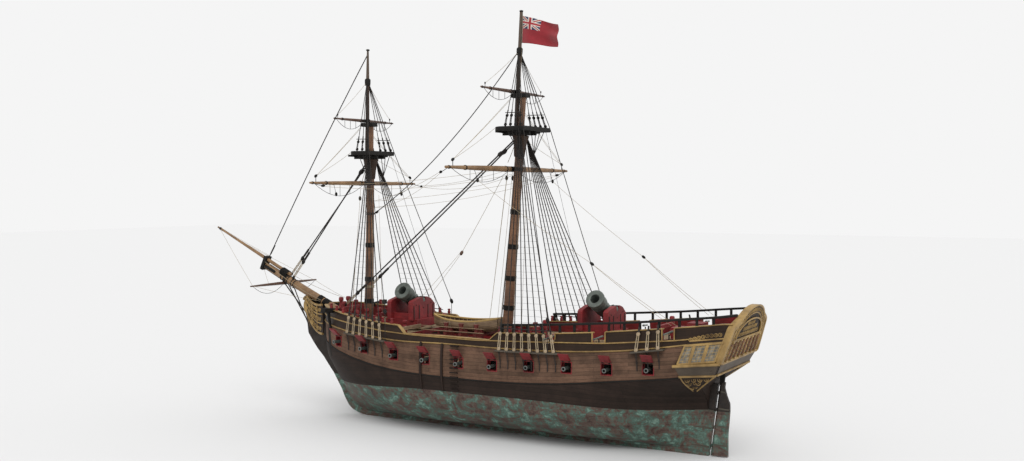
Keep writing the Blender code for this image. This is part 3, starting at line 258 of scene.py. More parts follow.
def weathered_copper(name, flat=False):
    """Copper sheets 1.2 m by 0.35 m: brown-black oxide with patches of verdigris, dull all over. On
    flat timbers the sheets run in the ship's own length and height, and end at the waterline."""
    mat = blank(name)
    place = add(mat, "TexCoord")
    parts = add(mat, "SeparateXYZ", {"Vector": place.outputs["Object"]})
    upright_map = add(mat, "CombineXYZ", {"X": parts.outputs["X"], "Y": parts.outputs["Z"]})
    sheet_map = upright_map.outputs[0] if flat else place.outputs["UV"]
    sheets = add(mat, "TexBrick", {"Vector": sheet_map, "Color1": tint("#ffffff"),
                                   "Color2": tint("#a9a19c"), "Mortar": tint("#3d3a36"),
                                   "Scale": 1.0, "Mortar Size": 0.004, "Bias": -0.1,
                                   "Brick Width": 0.6, "Row Height": 0.175}, offset=0.5)
    drawn = add(mat, "Mapping", {"Vector": place.outputs["Object"], "Scale": (1.1, 1.0, 1.2)})
    patch = add(mat, "TexNoise", {"Vector": drawn.outputs[0], "Scale": 2.0, "Detail": 9.0,
                                  "Roughness": 0.74, "Distortion": 0.6})
    fleck = add(mat, "TexNoise", {"Vector": drawn.outputs[0], "Scale": 7.0, "Detail": 8.0,
                                  "Roughness": 0.75})
    spread = add(mat, "Math", {0: fleck.outputs["Fac"], 1: 0.5, 2: patch.outputs["Fac"]},
                 operation="MULTIPLY_ADD")
    tone = add(mat, "ValToRGB", {"Fac": spread.outputs[0]}, stops=(
        (0.56, "#2e2420"), (0.65, "#553f37"), (0.72, "#65544a"), (0.765, "#56645a"), (0.82, "#59766a"),
        (0.92, "#8aa89b")))
    laid = add(mat, "MixRGB", {"Fac": 0.55, "Color1": tone.outputs[0], "Color2": sheets.outputs["Color"]},
               blend_type="MULTIPLY")
    if flat:
        above = add(mat, "Math", {0: parts.outputs["Z"], 1: SHEATHED_TO}, operation="GREATER_THAN")
        tar = add(mat, "ValToRGB", {"Fac": fleck.outputs["Fac"]},
                  stops=((0.3, "#1d1916"), (0.7, "#352c26")))
        laid = add(mat, "MixRGB", {"Fac": above.outputs[0], "Color1": laid.outputs[0],
                                   "Color2": tar.outputs[0]})
    rough = add(mat, "MapRange", {"Value": spread.outputs[0], "From Min": 0.5, "From Max": 0.9,
                                  "To Min": 0.45, "To Max": 0.85})
    high = add(mat, "Math", {0: sheets.outputs["Fac"], 1: -0.7, 2: fleck.outputs["Fac"]},
               operation="MULTIPLY_ADD")
    bump = add(mat, "Bump", {"Height": high.outputs[0], "Strength": 0.45, "Distance": 0.012})
    skin = add(mat, "BsdfPrincipled", {"Base Color": laid.outputs[0], "Roughness": rough.outputs[0],
                                       "Metallic": 0.25, "Normal": bump.outputs[0]})
    add(mat, "OutputMaterial", {"Surface": skin.outputs[0]})
    return mat


COPPER = weathered_copper("weathered_copper_sheets")
AFT_U, FORE_U = 0.32, 0.62


def station(u, z):
    """Where column u of the lower hull stands at height z: even to midships, closer towards the stem."""
    aft, fore = stern_x(z), stem_x(z)
    ahead = np.clip((u - FORE_U) / (1 - FORE_U), 0, 1)
    bow = MIDSHIP_FORE + (fore - MIDSHIP_FORE) * np.sin(np.pi / 2 * ahead)
    run = aft + (MIDSHIP_AFT - aft) * u / AFT_U
    middle = MIDSHIP_AFT + (MIDSHIP_FORE - MIDSHIP_AFT) * (u - AFT_U) / (FORE_U - AFT_U)
    return np.where(u < AFT_U, run, np.where(u > FORE_U, bow, middle))


def slice_of_hull(columns, levels, low, high):
    """Points of the hull's port side between two height curves."""
    u, q = np.meshgrid(columns, levels, indexing="ij")
    z = np.full(u.shape, 3.0)
    for _ in range(5):
        x = station(u, z)
        z = low(x) + (high(x) - low(x)) * q
    x = station(u, z)
    return np.stack([x, hull_half(x, z), z], -1)


def both_sides(points):
    """A hull strip across the ship: the port side's points and their mirror, low edge to low edge."""
    return np.concatenate([points, points[:, ::-1] * (1, -1, 1)], axis=1)


def closed_ends(rings):
    """The same rings with a point in the middle of the first and of the last, which closes them."""
    first, last = rings[:1].mean(1, keepdims=True), rings[-1:].mean(1, keepdims=True)
    wide = (1, rings.shape[1], 1)
    return np.concatenate([np.tile(first, wide), rings, np.tile(last, wide)])


columns = np.unique(np.concatenate([np.linspace(0, AFT_U, 40), np.linspace(AFT_U, FORE_U, 16),
                                    np.linspace(FORE_U, 1.0, 56)]))
levels = np.concatenate([np.linspace(0, 0.25, 9)[:-1], np.linspace(0.25, 1.0, 16)])
bottom = closed_ends(both_sides(slice_of_hull(columns, levels, lambda x: KEEL_TOP + 0 * x, copper_z)))
build("copper_bottom", [net(bottom, ring=True)], COPPER, stands_for=["hull_bottom"])


# Side planking: oak strakes 0.24 m wide in lengths of about 6 m, bare and silvered by the weather,
# fastened with treenails. Below it the wales, thicker planks tarred black, run from end to end.
def planks(name, tones, seam, wide, length, rough=0.78, grain=0.35, stain=0.35, gap=0.004, metal=0.0,
           shine=0.5):
    """Boards laid along the map's first axis: each its own tone, dark seams, grain drawn out along
    the board, and broad stains. wide and length are the real board's size in millimetres; gap is
    the seam's width in metres of the model, and 0 leaves the dark seams out."""
    mat = blank(name)
    place = add(mat, "TexCoord")
    rows = add(mat, "TexBrick", {"Vector": place.outputs["UV"], "Color1": tint(tones[0]),
                                 "Color2": tint(tones[1]), "Mortar": tint(seam), "Scale": 1.0,
                                 "Mortar Size": gap, "Mortar Smooth": 0.3,
                                 "Brick Width": length * SCALE / 1000,
                                 "Row Height": wide * SCALE / 1000}, offset=0.37)
    drawn = add(mat, "Mapping", {"Vector": place.outputs["UV"], "Scale": (2.5, 60.0, 1.0)})
    fibre = add(mat, "TexNoise", {"Vector": drawn.outputs[0], "Scale": 1.0, "Detail": 7.0,
                                  "Roughness": 0.65})
    broad = add(mat, "TexNoise", {"Vector": place.outputs["Object"], "Scale": 1.6,
                                  "Detail": 7.0, "Roughness": 0.7})
    worn = add(mat, "ValToRGB", {"Fac": fibre.outputs["Fac"]}, stops=((0.3, "#8a8580"), (0.62, "#ffffff")))
    soiled = add(mat, "ValToRGB", {"Fac": broad.outputs["Fac"]}, stops=((0.36, tones[2]), (0.6, "#ffffff")))
    one = add(mat, "MixRGB", {"Fac": grain, "Color1": rows.outputs["Color"], "Color2": worn.outputs[0]},
              blend_type="MULTIPLY")
    two = add(mat, "MixRGB", {"Fac": stain, "Color1": one.outputs[0], "Color2": soiled.outputs[0]},
              blend_type="MULTIPLY")
    high = add(mat, "Math", {0: rows.outputs["Fac"], 1: -1.0, 2: fibre.outputs["Fac"]},
               operation="MULTIPLY_ADD")
    bump = add(mat, "Bump", {"Height": high.outputs[0], "Strength": 0.5, "Distance": 0.01})
    skin = add(mat, "BsdfPrincipled", {"Base Color": two.outputs[0], "Roughness": rough, "Metallic": metal,
                                       "Specular IOR Level": shine, "Normal": bump.outputs[0]})
    add(mat, "OutputMaterial", {"Surface": skin.outputs[0]})
    return mat


OAK = planks("weathered_oak_planks", ("#775a48", "#614a3a", "#4a3a30"), "#31261f", 240, 6000,
             grain=0.5, stain=0.5, shine=0.25)
WALE = planks("tarred_oak_wale", ("#332721", "#2a201a", "#1d1713"), "#14100d", 300, 7000, rough=0.75,
              shine=0.2)
RED = planks("red_ochre_paint", ("#8a1f22", "#7a191c", "#5a1416"), "#4a0f12", 260, 3000, rough=0.62,
             grain=0.3, stain=0.45, gap=0.003)
PORT_X = (26.15, 23.45, 20.84, 18.29, 15.67, 13.14, 10.47, 7.83, 5.17, 2.54)
PORT_Z = (5.76, 5.55, 5.29, 5.18, 5.11, 5.13, 5.27, 5.40, 5.48, 5.67)
PORT_HALF = 0.33
BOW_FROM, BOW_TO = 26.7, 28.97  # where the side's columns begin to lean, and where they end
RUN_FROM, RUN_TO = 1.9, -1.14


def port_frame(i):
    """Middle of port i on the port side's planking, and its axes along the side and outward."""
    x, z = PORT_X[i], PORT_Z[i]
    along = np.array((0.6, float(hull_half(x + 0.3, z) - hull_half(x - 0.3, z)), 0.0))
    along = along / np.linalg.norm(along)
    return np.array((x, float(hull_half(x, z)), z)), along, np.array((-along[1], along[0], 0.0))


reach = [PORT_HALF * port_frame(i)[1][0] for i in range(10)]
edges = np.concatenate([[x - r, x + r] for x, r in zip(PORT_X, reach)])
fill = np.arange(RUN_FROM + 0.05, BOW_FROM - 0.1, 0.14)
fill = fill[np.abs(fill[:, None] - edges[None]).min(1) > 0.05]
side_x = np.unique(np.concatenate([np.linspace(RUN_TO, RUN_FROM, 22), fill, edges,
                                   BOW_FROM + 2.27 * np.sin(np.linspace(0, np.pi / 2, 30))]))


def raked(x, z):
    """Columns upright amidships that lean with the stem and the stern near the ends."""
    ahead = np.clip((x - BOW_FROM) / (BOW_TO - BOW_FROM), 0, 1)
    astern = np.clip((RUN_FROM - x) / (RUN_FROM - RUN_TO), 0, 1)
    return x + ahead * (stem_x(z) - BOW_TO) + astern * (stern_x(z) - RUN_TO)


def port_line(x):
    """Height of the middle of the ports' row: level across each port, sloped between them."""
    xs, zs = [RUN_TO], [6.45]
    for i in range(9, -1, -1):
        xs += [PORT_X[i] - 0.36, PORT_X[i] + 0.36]
        zs += [PORT_Z[i]] * 2
    return np.interp(x, xs + [BOW_TO], zs + [6.35])


def side_strip(low, high, count):
    """Port side's points in count rows between two heights given column by column."""
    z = low[:, None] + (high - low)[:, None] * np.linspace(0, 1, count)
    x = raked(side_x[:, None], z)
    return np.stack([x, hull_half(x, z), z], -1)


def girth_map(points):
    """A map of a side strip: metres forward, and metres round the side from the strip's low edge."""
    up = np.concatenate([np.zeros((len(points), 1)),
                         np.cumsum(np.linalg.norm(np.diff(points, axis=1), axis=2), axis=1)], axis=1)
    return np.stack([points[..., 0], up], -1) * SCALE


def holed(shape, spots, half_x, half_z):
    """A net without the faces whose middles lie within a port."""
    middle = shape[0][shape[1]].mean(1)
    keep = np.ones(len(middle), bool)
    for (x, z), hx in zip(spots, half_x):
        keep &= ~((np.abs(middle[:, 0] - x) < hx) & (np.abs(middle[:, 2] - z) < half_z))
    return shape[0], shape[1][keep], shape[2][keep], shape[3]


wale_low, wale_high = copper_z(raked(side_x, 3.0)), wale_z(side_x)
row = port_line(side_x)
side_points = np.concatenate([
    side_strip(wale_high, row - PORT_HALF, 6)[:, :-1], side_strip(row - PORT_HALF, row + PORT_HALF, 7),
    side_strip(row + PORT_HALF, rail_z(side_x), 6)[:, 1:]], axis=1)
side = net(side_points, uv=girth_map(side_points))
side = holed(side, list(zip(PORT_X, PORT_Z)), [r - 0.01 for r in reach], PORT_HALF - 0.01)
wale_points = side_strip(wale_low, wale_high, 14)
WALE_PROUD, ROUNDED = 0.05, 0.07
across = np.linspace(0, 1, 14)
wale_points[..., 1] += WALE_PROUD * np.minimum(1.0, np.minimum(across, 1 - across) / ROUNDED)
wale = net(wale_points, uv=girth_map(wale_points))
build("side_planking", pair(side), OAK, stands_for=["hull_topsides"], shell=True)
build("wales", pair(wale), WALE, shell=True)


def moulding(xs, height, out, wide, high):
    """A rail along the side: its rounded section carried at a height curve, a distance off the side."""
    z = height(xs)
    path = np.stack([xs, hull_half(xs, z) + out, z], -1)
    a = np.linspace(0, 2 * np.pi, 12, endpoint=False) + 0.26
    section = np.stack([wide / 2 * np.sign(np.cos(a)) * np.abs(np.cos(a)) ** 0.5,
                        high / 2 * np.sign(np.sin(a)) * np.abs(np.sin(a)) ** 0.5], -1)
    return carried(path, section)


def unit(v):
    """Vectors of the same direction, 1 m long."""
    return v / np.maximum(np.linalg.norm(v, axis=-1, keepdims=True), 1e-9)


def carried(path, section, up=(0.0, 0.0, 1.0), size=None, run=None):
    """A closed section, in metres sideways and up, carried along a path and closed at both ends;
    size enlarges it from point to point."""
    path, section = np.asarray(path, float), np.asarray(section, float)
    run = unit(np.gradient(path, axis=0) if run is None else np.asarray(run, float))
    run = np.broadcast_to(run, path.shape)
    side = unit(np.cross(run, up))
    rise = np.cross(side, run)
    size = np.ones(len(path)) if size is None else np.asarray(size, float)
    rings = path[:, None] + size[:, None, None] * (section[None, :, :1] * side[:, None]
                                                   + section[None, :, 1:] * rise[:, None])
    return net(closed_ends(rings), ring=True)


def blocks(middles, halves, axes=np.eye(3)):
    """Square timbers, each a box of three half sizes along its own axes, grain along the longest."""
    middles = np.atleast_2d(np.asarray(middles, float))
    n = len(middles)
    halves = np.broadcast_to(np.asarray(halves, float), (n, 3))
    axes = np.broadcast_to(np.asarray(axes, float), (n, 3, 3))
    sign = np.array([(-1, -1, -1), (1, -1, -1), (1, 1, -1), (-1, 1, -1), (-1, -1, 1), (1, -1, 1),
                     (1, 1, 1), (-1, 1, 1)])
    local = sign[None] * halves[:, None]
    verts = middles[:, None] + np.einsum("nkc,ncd->nkd", local, axes)
    faces = np.array([(0, 3, 2, 1), (4, 5, 6, 7), (0, 1, 5, 4), (1, 2, 6, 5), (2, 3, 7, 6), (3, 0, 4, 7)])
    quads = faces[None] + 8 * np.arange(n)[:, None, None]
    order = np.argsort(-halves, axis=1, kind="stable")
    sized = np.take_along_axis(local, np.broadcast_to(order[:, None], local.shape), 2)
    ranks = np.argsort(order, axis=1)
    uv = np.empty((n, 6, 4, 2))
    for f, axis in enumerate((2, 2, 1, 0, 1, 0)):
        corners = sized[:, faces[f]]
        r = ranks[:, axis][:, None]
        uv[:, f, :, 0] = np.where(r == 0, corners[..., 1], corners[..., 0])
        uv[:, f, :, 1] = np.where(r == 2, corners[..., 1], corners[..., 2])
    uv = uv * SCALE + (np.arange(n) * 0.37)[:, None, None, None]
    return verts.reshape(-1, 3), quads.reshape(-1, 4), uv.reshape(-1, 4, 2), 0


def circle(sides, radius=1.0):
    """A round section."""
    a = np.linspace(0, 2 * np.pi, sides, endpoint=False)
    return np.stack([radius * np.cos(a), radius * np.sin(a)], -1)


def bar(half_wide, half_high):
    """A rectangular section."""
    return np.array([(-half_wide, -half_high), (-half_wide, half_high), (half_wide, half_high),
                     (half_wide, -half_high)])


def disc(radius, thick):
    """The profile of a plain disc, for turned."""
    return (0, 0), (0, radius), (thick, radius), (thick, 0)


def turned(foot, toward, table, sides=20, up=(0.0, 0.0, 1.0)):
    """A turned piece: radii against distance from foot along a straight axis, closed at the ends."""
    foot, axis = np.asarray(foot, float), unit(np.asarray(toward, float))
    far, radii = np.array(table, float).T
    if abs(np.dot(axis, up)) > 0.9:
        up = (0.0, 1.0, 0.0)
    return carried(foot + far[:, None] * axis, circle(sides), up, radii, axis)


# Gunports: a square hole lined with red boards, an iron hinge lug over it on either side, and the
# muzzle of a carriage gun standing out through it. A near-black plate of painted shade closes the
# ports that are shut behind, and the muzzle ring is lighter grey as a painted highlight.
IRON_BLACK = planks("forged_iron_blacked", ("#26231f", "#1c1a18", "#171513"), "#121110", 2000, 3000,
                    rough=0.6, gap=0.0, metal=0.4)
BARREL = planks("grey_gun_iron", ("#4a524d", "#3f4642", "#333935"), "#232624", 2000, 3000, rough=0.55,
                gap=0.0, metal=0.3)
# Lighter grey for the muzzle ring: a painted highlight where the light catches the muzzle's face.
MUZZLE = planks("muzzle_highlight_grey_iron", ("#6e716e", "#61645f", "#4b4d4a"), "#343634", 2000, 3000, rough=0.55,
                gap=0.0, metal=0.2)
# Painted shade: a near-black sheet put where the inside is only in shadow, at the back of the shut ports
# and down the mortars' bores.
PAINTED_SHADE = planks("painted_shade_black", ("#14100e", "#0f0c0a", "#0c0a08"), "#080706", 300, 3000, rough=0.9)
UP = np.array((0.0, 0.0, 1.0))
WAIST_PORTS = (3, 4)  # these two open into the waist, so their guns stand whole
FRAME, MUZZLE_DROP = 0.045, 0.02


def square_tube(frame_at, steps):
    """A square sleeve on a port's axes: half widths against distances outward."""
    middle, along, out = frame_at
    corners = [along * i + UP * j for i, j in ((-1, -1), (1, -1), (1, 1), (-1, 1))]
    return net(np.array([[middle + c * w + out * d for c in corners] for w, d in steps]), ring=True)


linings, lugs, barrels = [], [], []
for i in range(10):
    middle, along, out = port_frame(i)
    open_back = i in WAIST_PORTS
    deep = -0.42 if open_back else -0.55
    edge = PORT_HALF + FRAME
    linings.append(square_tube((middle, along, out), [(edge, -0.02), (edge, 0.022), (PORT_HALF, 0.022),
                                                      (PORT_HALF, -0.2), (PORT_HALF, deep)]))
    if not open_back:
        # A near-black plate of painted shade closes the back of the port and stands for the dark inside.
        steps = [(PORT_HALF, deep + 0.12), (PORT_HALF, deep), (0.0, deep)]
        linings.append(painted(square_tube((middle, along, out), steps), 1))
    axes = np.array((along, out, UP))
    lugs.append(blocks([middle + along * s + UP * 0.4 for s in (-0.22, 0.22)], (0.045, 0.05, 0.04), axes))
    middle = middle - UP * MUZZLE_DROP
    rear = -1.9 if open_back else -0.52
    start = [(-0.26, 0.0), (-0.25, 0.05), (-0.2, 0.065), (-0.14, 0.045), (-0.08, 0.08), (0.0, 0.18),
             (0.06, 0.185), (0.08, 0.17)] if open_back else [(0.0, 0.0), (0.0, 0.15)]
    far = [(d - rear, r) for d, r in ((0.34, 0.105), (0.36, 0.112), (0.40, 0.138), (0.435, 0.14),
                                      (0.45, 0.125), (0.45, 0.084), (0.1, 0.08), (0.1, 0.0))]
    if open_back:
        start += [(0.6, 0.155), (0.61, 0.165), (0.65, 0.165), (0.66, 0.145), (1.2, 0.13), (1.21, 0.14),
                  (1.25, 0.14)]
    barrels.append(turned(middle + out * rear, out, start + [(-0.1 - rear, 0.12)] + far, 18))
    # The muzzle ring in lighter grey, a painted highlight round the dark bore.
    rings = [[middle + out * d + (along * c[0] + UP * c[1]) * r for c in circle(18)]
             for d, r in ((0.395, 0.13), (0.405, 0.143), (0.436, 0.146), (0.453, 0.13), (0.454, 0.086),
                          (0.44, 0.08))]
    barrels.append(painted(net(np.array(rings), ring=True), 1))
build("port_linings", pair(*linings), [RED, PAINTED_SHADE], shell=True)
build("hinge_lugs", pair(*lugs), IRON_BLACK, bevel=0.008)
build("gun_barrels", pair(*barrels), [BARREL, MUZZLE])


# Port lids: boards crossed on a red lining, each swung up on two straps from a pin over its port.
for word, own_side in SIDES:
    for i in range(10):
        middle, along, out = port_frame(i)
        hinge = middle + UP * 0.40 + out * 0.086
        away = (out + UP) * math.sqrt(0.5)
        face = (UP - out) * math.sqrt(0.5)
        axes = np.array((along, away, face))
        at = lambda s, t, n: hinge + along * s + away * t + face * n
        boards = [blocks([at(s, 0.372, 0.026) for s in (-0.24, 0.0, 0.24)], (0.117, 0.328, 0.0215), axes)]
        lining = [painted(blocks([at(0.0, 0.385, -0.014)], (0.31, 0.285, 0.0175), axes), 1)]
        straps = [painted(blocks([at(s, 0.30, 0.052) for s in (-0.22, 0.22)], (0.028, 0.27, 0.006), axes),
                          2)]
        pins = [painted(turned(at(s - 0.07, 0, 0), along, disc(0.034, 0.14), 12), 2) for s in (-0.22, 0.22)]
        lid = "lid_%s_%d" % (word, i + 1)
        build(lid.replace("lid", "lid_board"), map(own_side, boards + lining + straps + pins),
              [RED, RED, IRON_BLACK], body=lid, stands_for=[lid], bevel=0.006)


# Bulwarks over the channel rail: dark panels outside, red inside, swept down to the open waist,
# with red embrasures for swivel guns and gilded mouldings along sill and cap.
PANEL = planks("dark_varnished_panel", ("#35261b", "#2e2118", "#241a13"), "#18110c", 330, 4000,
               rough=0.5, shine=0.18)
GILT = planks("yellow_ochre_moulding", ("#a98a52", "#977a47", "#6b5532"), "#5a4628", 3000, 4000,
              rough=0.55, grain=0.25, stain=0.6, gap=0.0, metal=0.1)
BLACK = planks("tarred_black_timber", ("#1f1d1a", "#1a1816", "#151311"), "#0e0d0c", 500, 4000,
               rough=0.7, shine=0.22)
cap_z = lambda x: np.interp(x, (-2.0, 1.7, 6.2, 9.5, 12.95, 13.2, 13.5, 16.9, 20.1, 20.4, 20.7, 22.0,
                                24.1, 26.0, 29.3), (8.55, 8.10, 7.63, 7.36, 7.21, 7.02, 6.72, 6.76,
                                                    6.74, 7.02, 7.25, 7.31, 7.49, 7.7, 8.1))
sill_z = lambda x: np.interp(x, (-2.2, 1.0, 5.4, 9.8, 13.5, 14.5, 19.6, 20.0, 22.0, 25.4, 29.3),
                             (7.92, 7.46, 7.04, 6.84, 6.70, 6.66, 6.70, 6.72, 6.81, 7.13, 7.5))
EMBRASURES = ((1.0, 1.7), (5.4, 6.2), (8.8, 9.5))
BULWARK = 0.16
wall_x = np.unique(np.concatenate([np.linspace(-2.45, 12.9, 112), np.linspace(12.9, 13.6, 12),
                                   np.linspace(13.6, 20.0, 30), np.linspace(20.0, 20.9, 12),
                                   np.linspace(20.9, 28.85, 70)]
                                  + [[a - 0.004, a + 0.004, b - 0.004, b + 0.004] for a, b in EMBRASURES]))


def lean(x, z):
    """The side's slope in plan, and the length that goes with it."""
    slope = (hull_half(x + 0.05, z) - hull_half(x - 0.05, z)) / 0.1
    return slope, np.hypot(1.0, slope)


def wall_top(x):
    """The bulwark's top: its cap, or the sill of an embrasure."""
    low = np.zeros(x.shape, bool)
    for a, b in EMBRASURES:
        low |= (x > a) & (x < b)
    return np.where(low, rail_z(x) + 0.45, cap_z(x))


rake = np.minimum(6.15 + (-1.83 - wall_x) / 0.35, cap_z(wall_x) - 0.2)
low, high = np.maximum(rail_z(wall_x) - 0.015, rake), wall_top(wall_x)
rings = []
for part, inner in ((0.0, 0), (0.5, 0), (1.0, 0), (1.0, 1), (0.5, 1), (0.0, 1)):
    z = low + (high - low) * part
    slope, size = lean(wall_x, z)
    y = hull_half(wall_x, z)
    rings.append(np.stack([wall_x + inner * slope / size * BULWARK, y - inner * BULWARK / size, z], -1))
wall = np.stack(rings, 1)
outside = net(wall[:, :3])
inside_red = painted(net(wall[:, 2:]), 1)
ends = [painted(net(wall[[k]][:, [[0, 1, 2], [5, 4, 3]]][0]), -k) for k in (0, -1)]
segments = []
stops = [-2.45] + [e for pair in EMBRASURES for e in pair] + [28.85]
for a, b in zip(stops[::2], stops[1::2]):
    xs = np.unique(np.concatenate([wall_x[(wall_x > a + 0.01) & (wall_x < b - 0.01)], [a, b]]))
    z = cap_z(xs)
    slope, size = lean(xs, z)
    path = np.stack([xs + slope / size * 0.07, hull_half(xs, z) - 0.07 / size, z + 0.01], -1)
    section = np.array([(-0.12, -0.03), (-0.135, 0.0), (-0.12, 0.035), (0.12, 0.035), (0.135, 0.0),
                        (0.12, -0.03)])
    segments.append(carried(path, section))
    for x, way in ((a, 1), (b, -1)):
        if -1 < x < 28:
            x = x + way * 0.03
            y = float(hull_half(x, 7.2))
            segments.append(blocks([(x, y + 0.004, (sill_z(x) + cap_z(x)) / 2)],
                                   (0.035, 0.03, float(cap_z(x) - sill_z(x)) / 2)))
sill_x = np.linspace(-2.3, 28.9, 164)
sill = moulding(sill_x, sill_z, 0.02, 0.09, 0.075)
channel_rail = moulding(np.linspace(-1.2, 28.95, 160), lambda x: rail_z(x) + 0.01, 0.02, 0.10, 0.08)
wale_edge = painted(moulding(np.linspace(-1.2, 28.7, 160), lambda x: wale_z(x) + 0.01, 0.025, 0.09, 0.08),
                    1)
for word, own_side in SIDES:
    build("bulwark_wall_" + word, map(own_side, (outside, inside_red, *ends)), [PANEL, RED],
          stands_for=["bulwark_" + word])
    build("gilded_rails_" + word, map(own_side, (*segments, sill, channel_rail, wale_edge)),
          [GILT, BLACK])

# Open rail over the quarterdeck's bulwarks: a flat black handrail on square stanchions.
rail_top = curve((-2.6, 9.1), (-1.5, 9.0), (-0.6, 8.91), (3.2, 8.50), (5.8, 8.28), (9.9, 7.97),
                 (12.8, 7.80))
xs = np.linspace(-2.38, 12.7, 80)
y_rail = lambda x: hull_half(x, cap_z(x)) - BULWARK / 2 - 0.95 * np.clip((-1.2 - x) / 1.18, 0, 1) ** 2
path = np.stack([xs, y_rail(xs), rail_top(xs) - 0.045], -1)
section = np.array([(-0.09, -0.09), (-0.1, 0.0), (-0.09, 0.045), (0.09, 0.045), (0.1, 0.0), (0.09, -0.09)])
handrail = carried(path, section)
at = np.array((-1.3, -0.3, 0.75, 2.0, 3.2, 4.2, 5.2, 6.5, 7.5, 8.5, 9.8, 10.8, 11.8, 12.6))
tall = (rail_top(at) - cap_z(at)) / 2
stanchions = blocks(np.stack([at, y_rail(at), cap_z(at) + tall], -1),
                    np.stack([0 * at + 0.075, 0 * at + 0.055, tall], -1))
build("quarterdeck_rails", pair(handrail, stanchions), BLACK,
      stands_for=["open_rail_port", "open_rail_starboard"], bevel=0.01)


# Decks: pine planks 0.18 m wide laid fore and aft with pitched seams, on the solid topsides, and
# lower down the floor, linings and cabin bulkheads of the open waist.
DECK = planks("scrubbed_deck_pine", ("#a08a6c", "#937e62", "#7a6a54"), "#3a2f25", 180, 5000,
              rough=0.8, grain=0.4)


def deck_slab(x0, x1):
    """A deck's cross section, cambered 8 cm, carried along the ship inside its bulwarks."""
    x = np.linspace(x0, x1, 60)
    z = rail_z(x) + 0.02
    wide = hull_half(x, z + 0.2) - BULWARK * lean(x, z + 0.2)[1] + 0.01
    v = np.array([1.0, 1.0, 0.66, 0.33, 0.0, -0.33, -0.66, -1.0, -1.0])
    top = np.array([0, 1, 1, 1, 1, 1, 1, 1, 0])
    y = wide[:, None] * v
    up = np.where(top, 0.22 + 0.08 * (1 - v ** 2), -0.05)
    points = np.stack([x[:, None] + 0 * y, y, z[:, None] + up], -1)
    return net(closed_ends(points), ring=True)


build("forecastle_planking", [deck_slab(20.6, 28.5)], DECK, stands_for=["forecastle_deck"])
build("quarterdeck_planking", [deck_slab(-1.5, 12.95)], DECK, stands_for=["quarterdeck"])
WAIST_HALF, PORT_EDGES = 3.7, [15.34, 16.0, 17.96, 18.62]
xs = np.unique(np.concatenate([np.linspace(13.52, 20.44, 30), PORT_EDGES]))
for x in PORT_EDGES:
    xs = xs[(np.abs(xs - x) > 0.06) | (xs == x)]
rows = np.array([4.6, 4.78, 4.85, 5.44, 5.51, 5.9])
wall = np.stack(np.broadcast_arrays(xs[:, None], WAIST_HALF, rows), -1)
wall = np.concatenate([wall, np.stack([xs, 0 * xs + WAIST_HALF, rail_z(xs) + 0.02], -1)[:, None]], 1)
lining = holed(net(wall), [(PORT_X[i], PORT_Z[i]) for i in WAIST_PORTS], [0.32, 0.32], 0.32)
cover_x = np.linspace(13.3, 20.6, 30)
cover = carried(np.stack([cover_x, 0 * cover_x + 3.75, rail_z(cover_x) + 0.03], -1),
                [(-0.13, -0.04), (-0.13, 0.03), (0.13, 0.03), (0.13, -0.04)])
spots = [(12.93, 0), (20.62, 0), (13.24, 2.88), (13.24, -2.88), (20.53, 2.88), (20.53, -2.88), (13.5, 3.28),
         (13.5, -3.28), (20.46, 3.28), (20.46, -3.28)]
cabins = blocks([(x, y, 5.6) for x, y in spots], [(0.03, 2.9, 1.0)] * 2 + [(0.29, 0.03, 1.0)] * 2
                + [(0.09, 0.03, 1.0)] * 2 + [(0.03, 0.43, 1.0)] * 4)
doors = blocks([(x, y, 5.55) for x in (12.97, 20.58) for y in (-1.6, -0.55, 0.55, 1.6)], (0.02, 0.36, 0.78))
build("waist_linings", [*pair(lining), *pair(cover), cabins, painted(doors, 1)], [RED, PANEL],
      shell=True)
floor_boards = blocks([(16.77, 0.0, 4.68)], (3.9, 3.71, 0.075))
build("waist_floor", [floor_boards], DECK, stands_for=["waist_deck"])

# Lower masts and topmasts: pine trunks oiled brown, bound with tarred rope woldings. Cheeks below
# each top carry it; the topmast stands ahead of the masthead, held by the top and the black cap.
OILED = planks("oiled_pine_spar", ("#865e40", "#795338", "#5a3e29"), "#4a3325", 4000, 9000,
               rough=0.55, grain=0.7, stain=0.6, gap=0.0)
DARK_SPAR = planks("smoked_pine_spar", ("#46352a", "#3e2f26", "#31251d"), "#2a2019", 4000, 9000,
                   grain=0.6, gap=0.0, shine=0.3)
WEATHERED = planks("weathered_pine_pole", ("#5f5043", "#57493d", "#453a31"), "#3a3028", 4000, 9000,
                   grain=0.5, gap=0.0)
MASTS = {"fore": dict(rake=-0.02, at=26.04, top_rake=-0.0125, foot=6.93, top=19.15, cap=21.0,
                      head=24.35, pole=26.45, low=0.32, high=0.14, tip=0.07, platform=1.5,
                      bands=(8.36, 9.95, 12.42), mast="foremast"),
         "main": dict(rake=-0.0792, at=14.88, top_rake=-0.0495, foot=4.78, top=20.55, cap=22.58,
                      head=25.81, pole=28.26, low=0.365, high=0.155, tip=0.105, platform=1.87,
                      bands=(8.45, 10.45, 12.59, 14.93), mast="mainmast")}


def axis_at(m, z, ahead=0.0, y=0.0):
    """Points of a lower mast's raked axis at heights z, a distance ahead of it and to one side."""
    z = np.asarray(z, float)
    return np.stack([m["at"] + m["rake"] * z + ahead, 0 * z + y, z], -1)


def upper_at(m, z, ahead=0.0, y=0.0):
    """The same for a topmast, which stands close ahead of the masthead and rakes a little less."""
    z = np.asarray(z, float)
    heel = m["top"] - 0.35
    x = m["at"] + m["rake"] * heel + m["low"] * 0.55 + m["high"] + 0.012 + m["top_rake"] * (z - heel)
    return np.stack([x + ahead, 0 * z + y, z], -1)


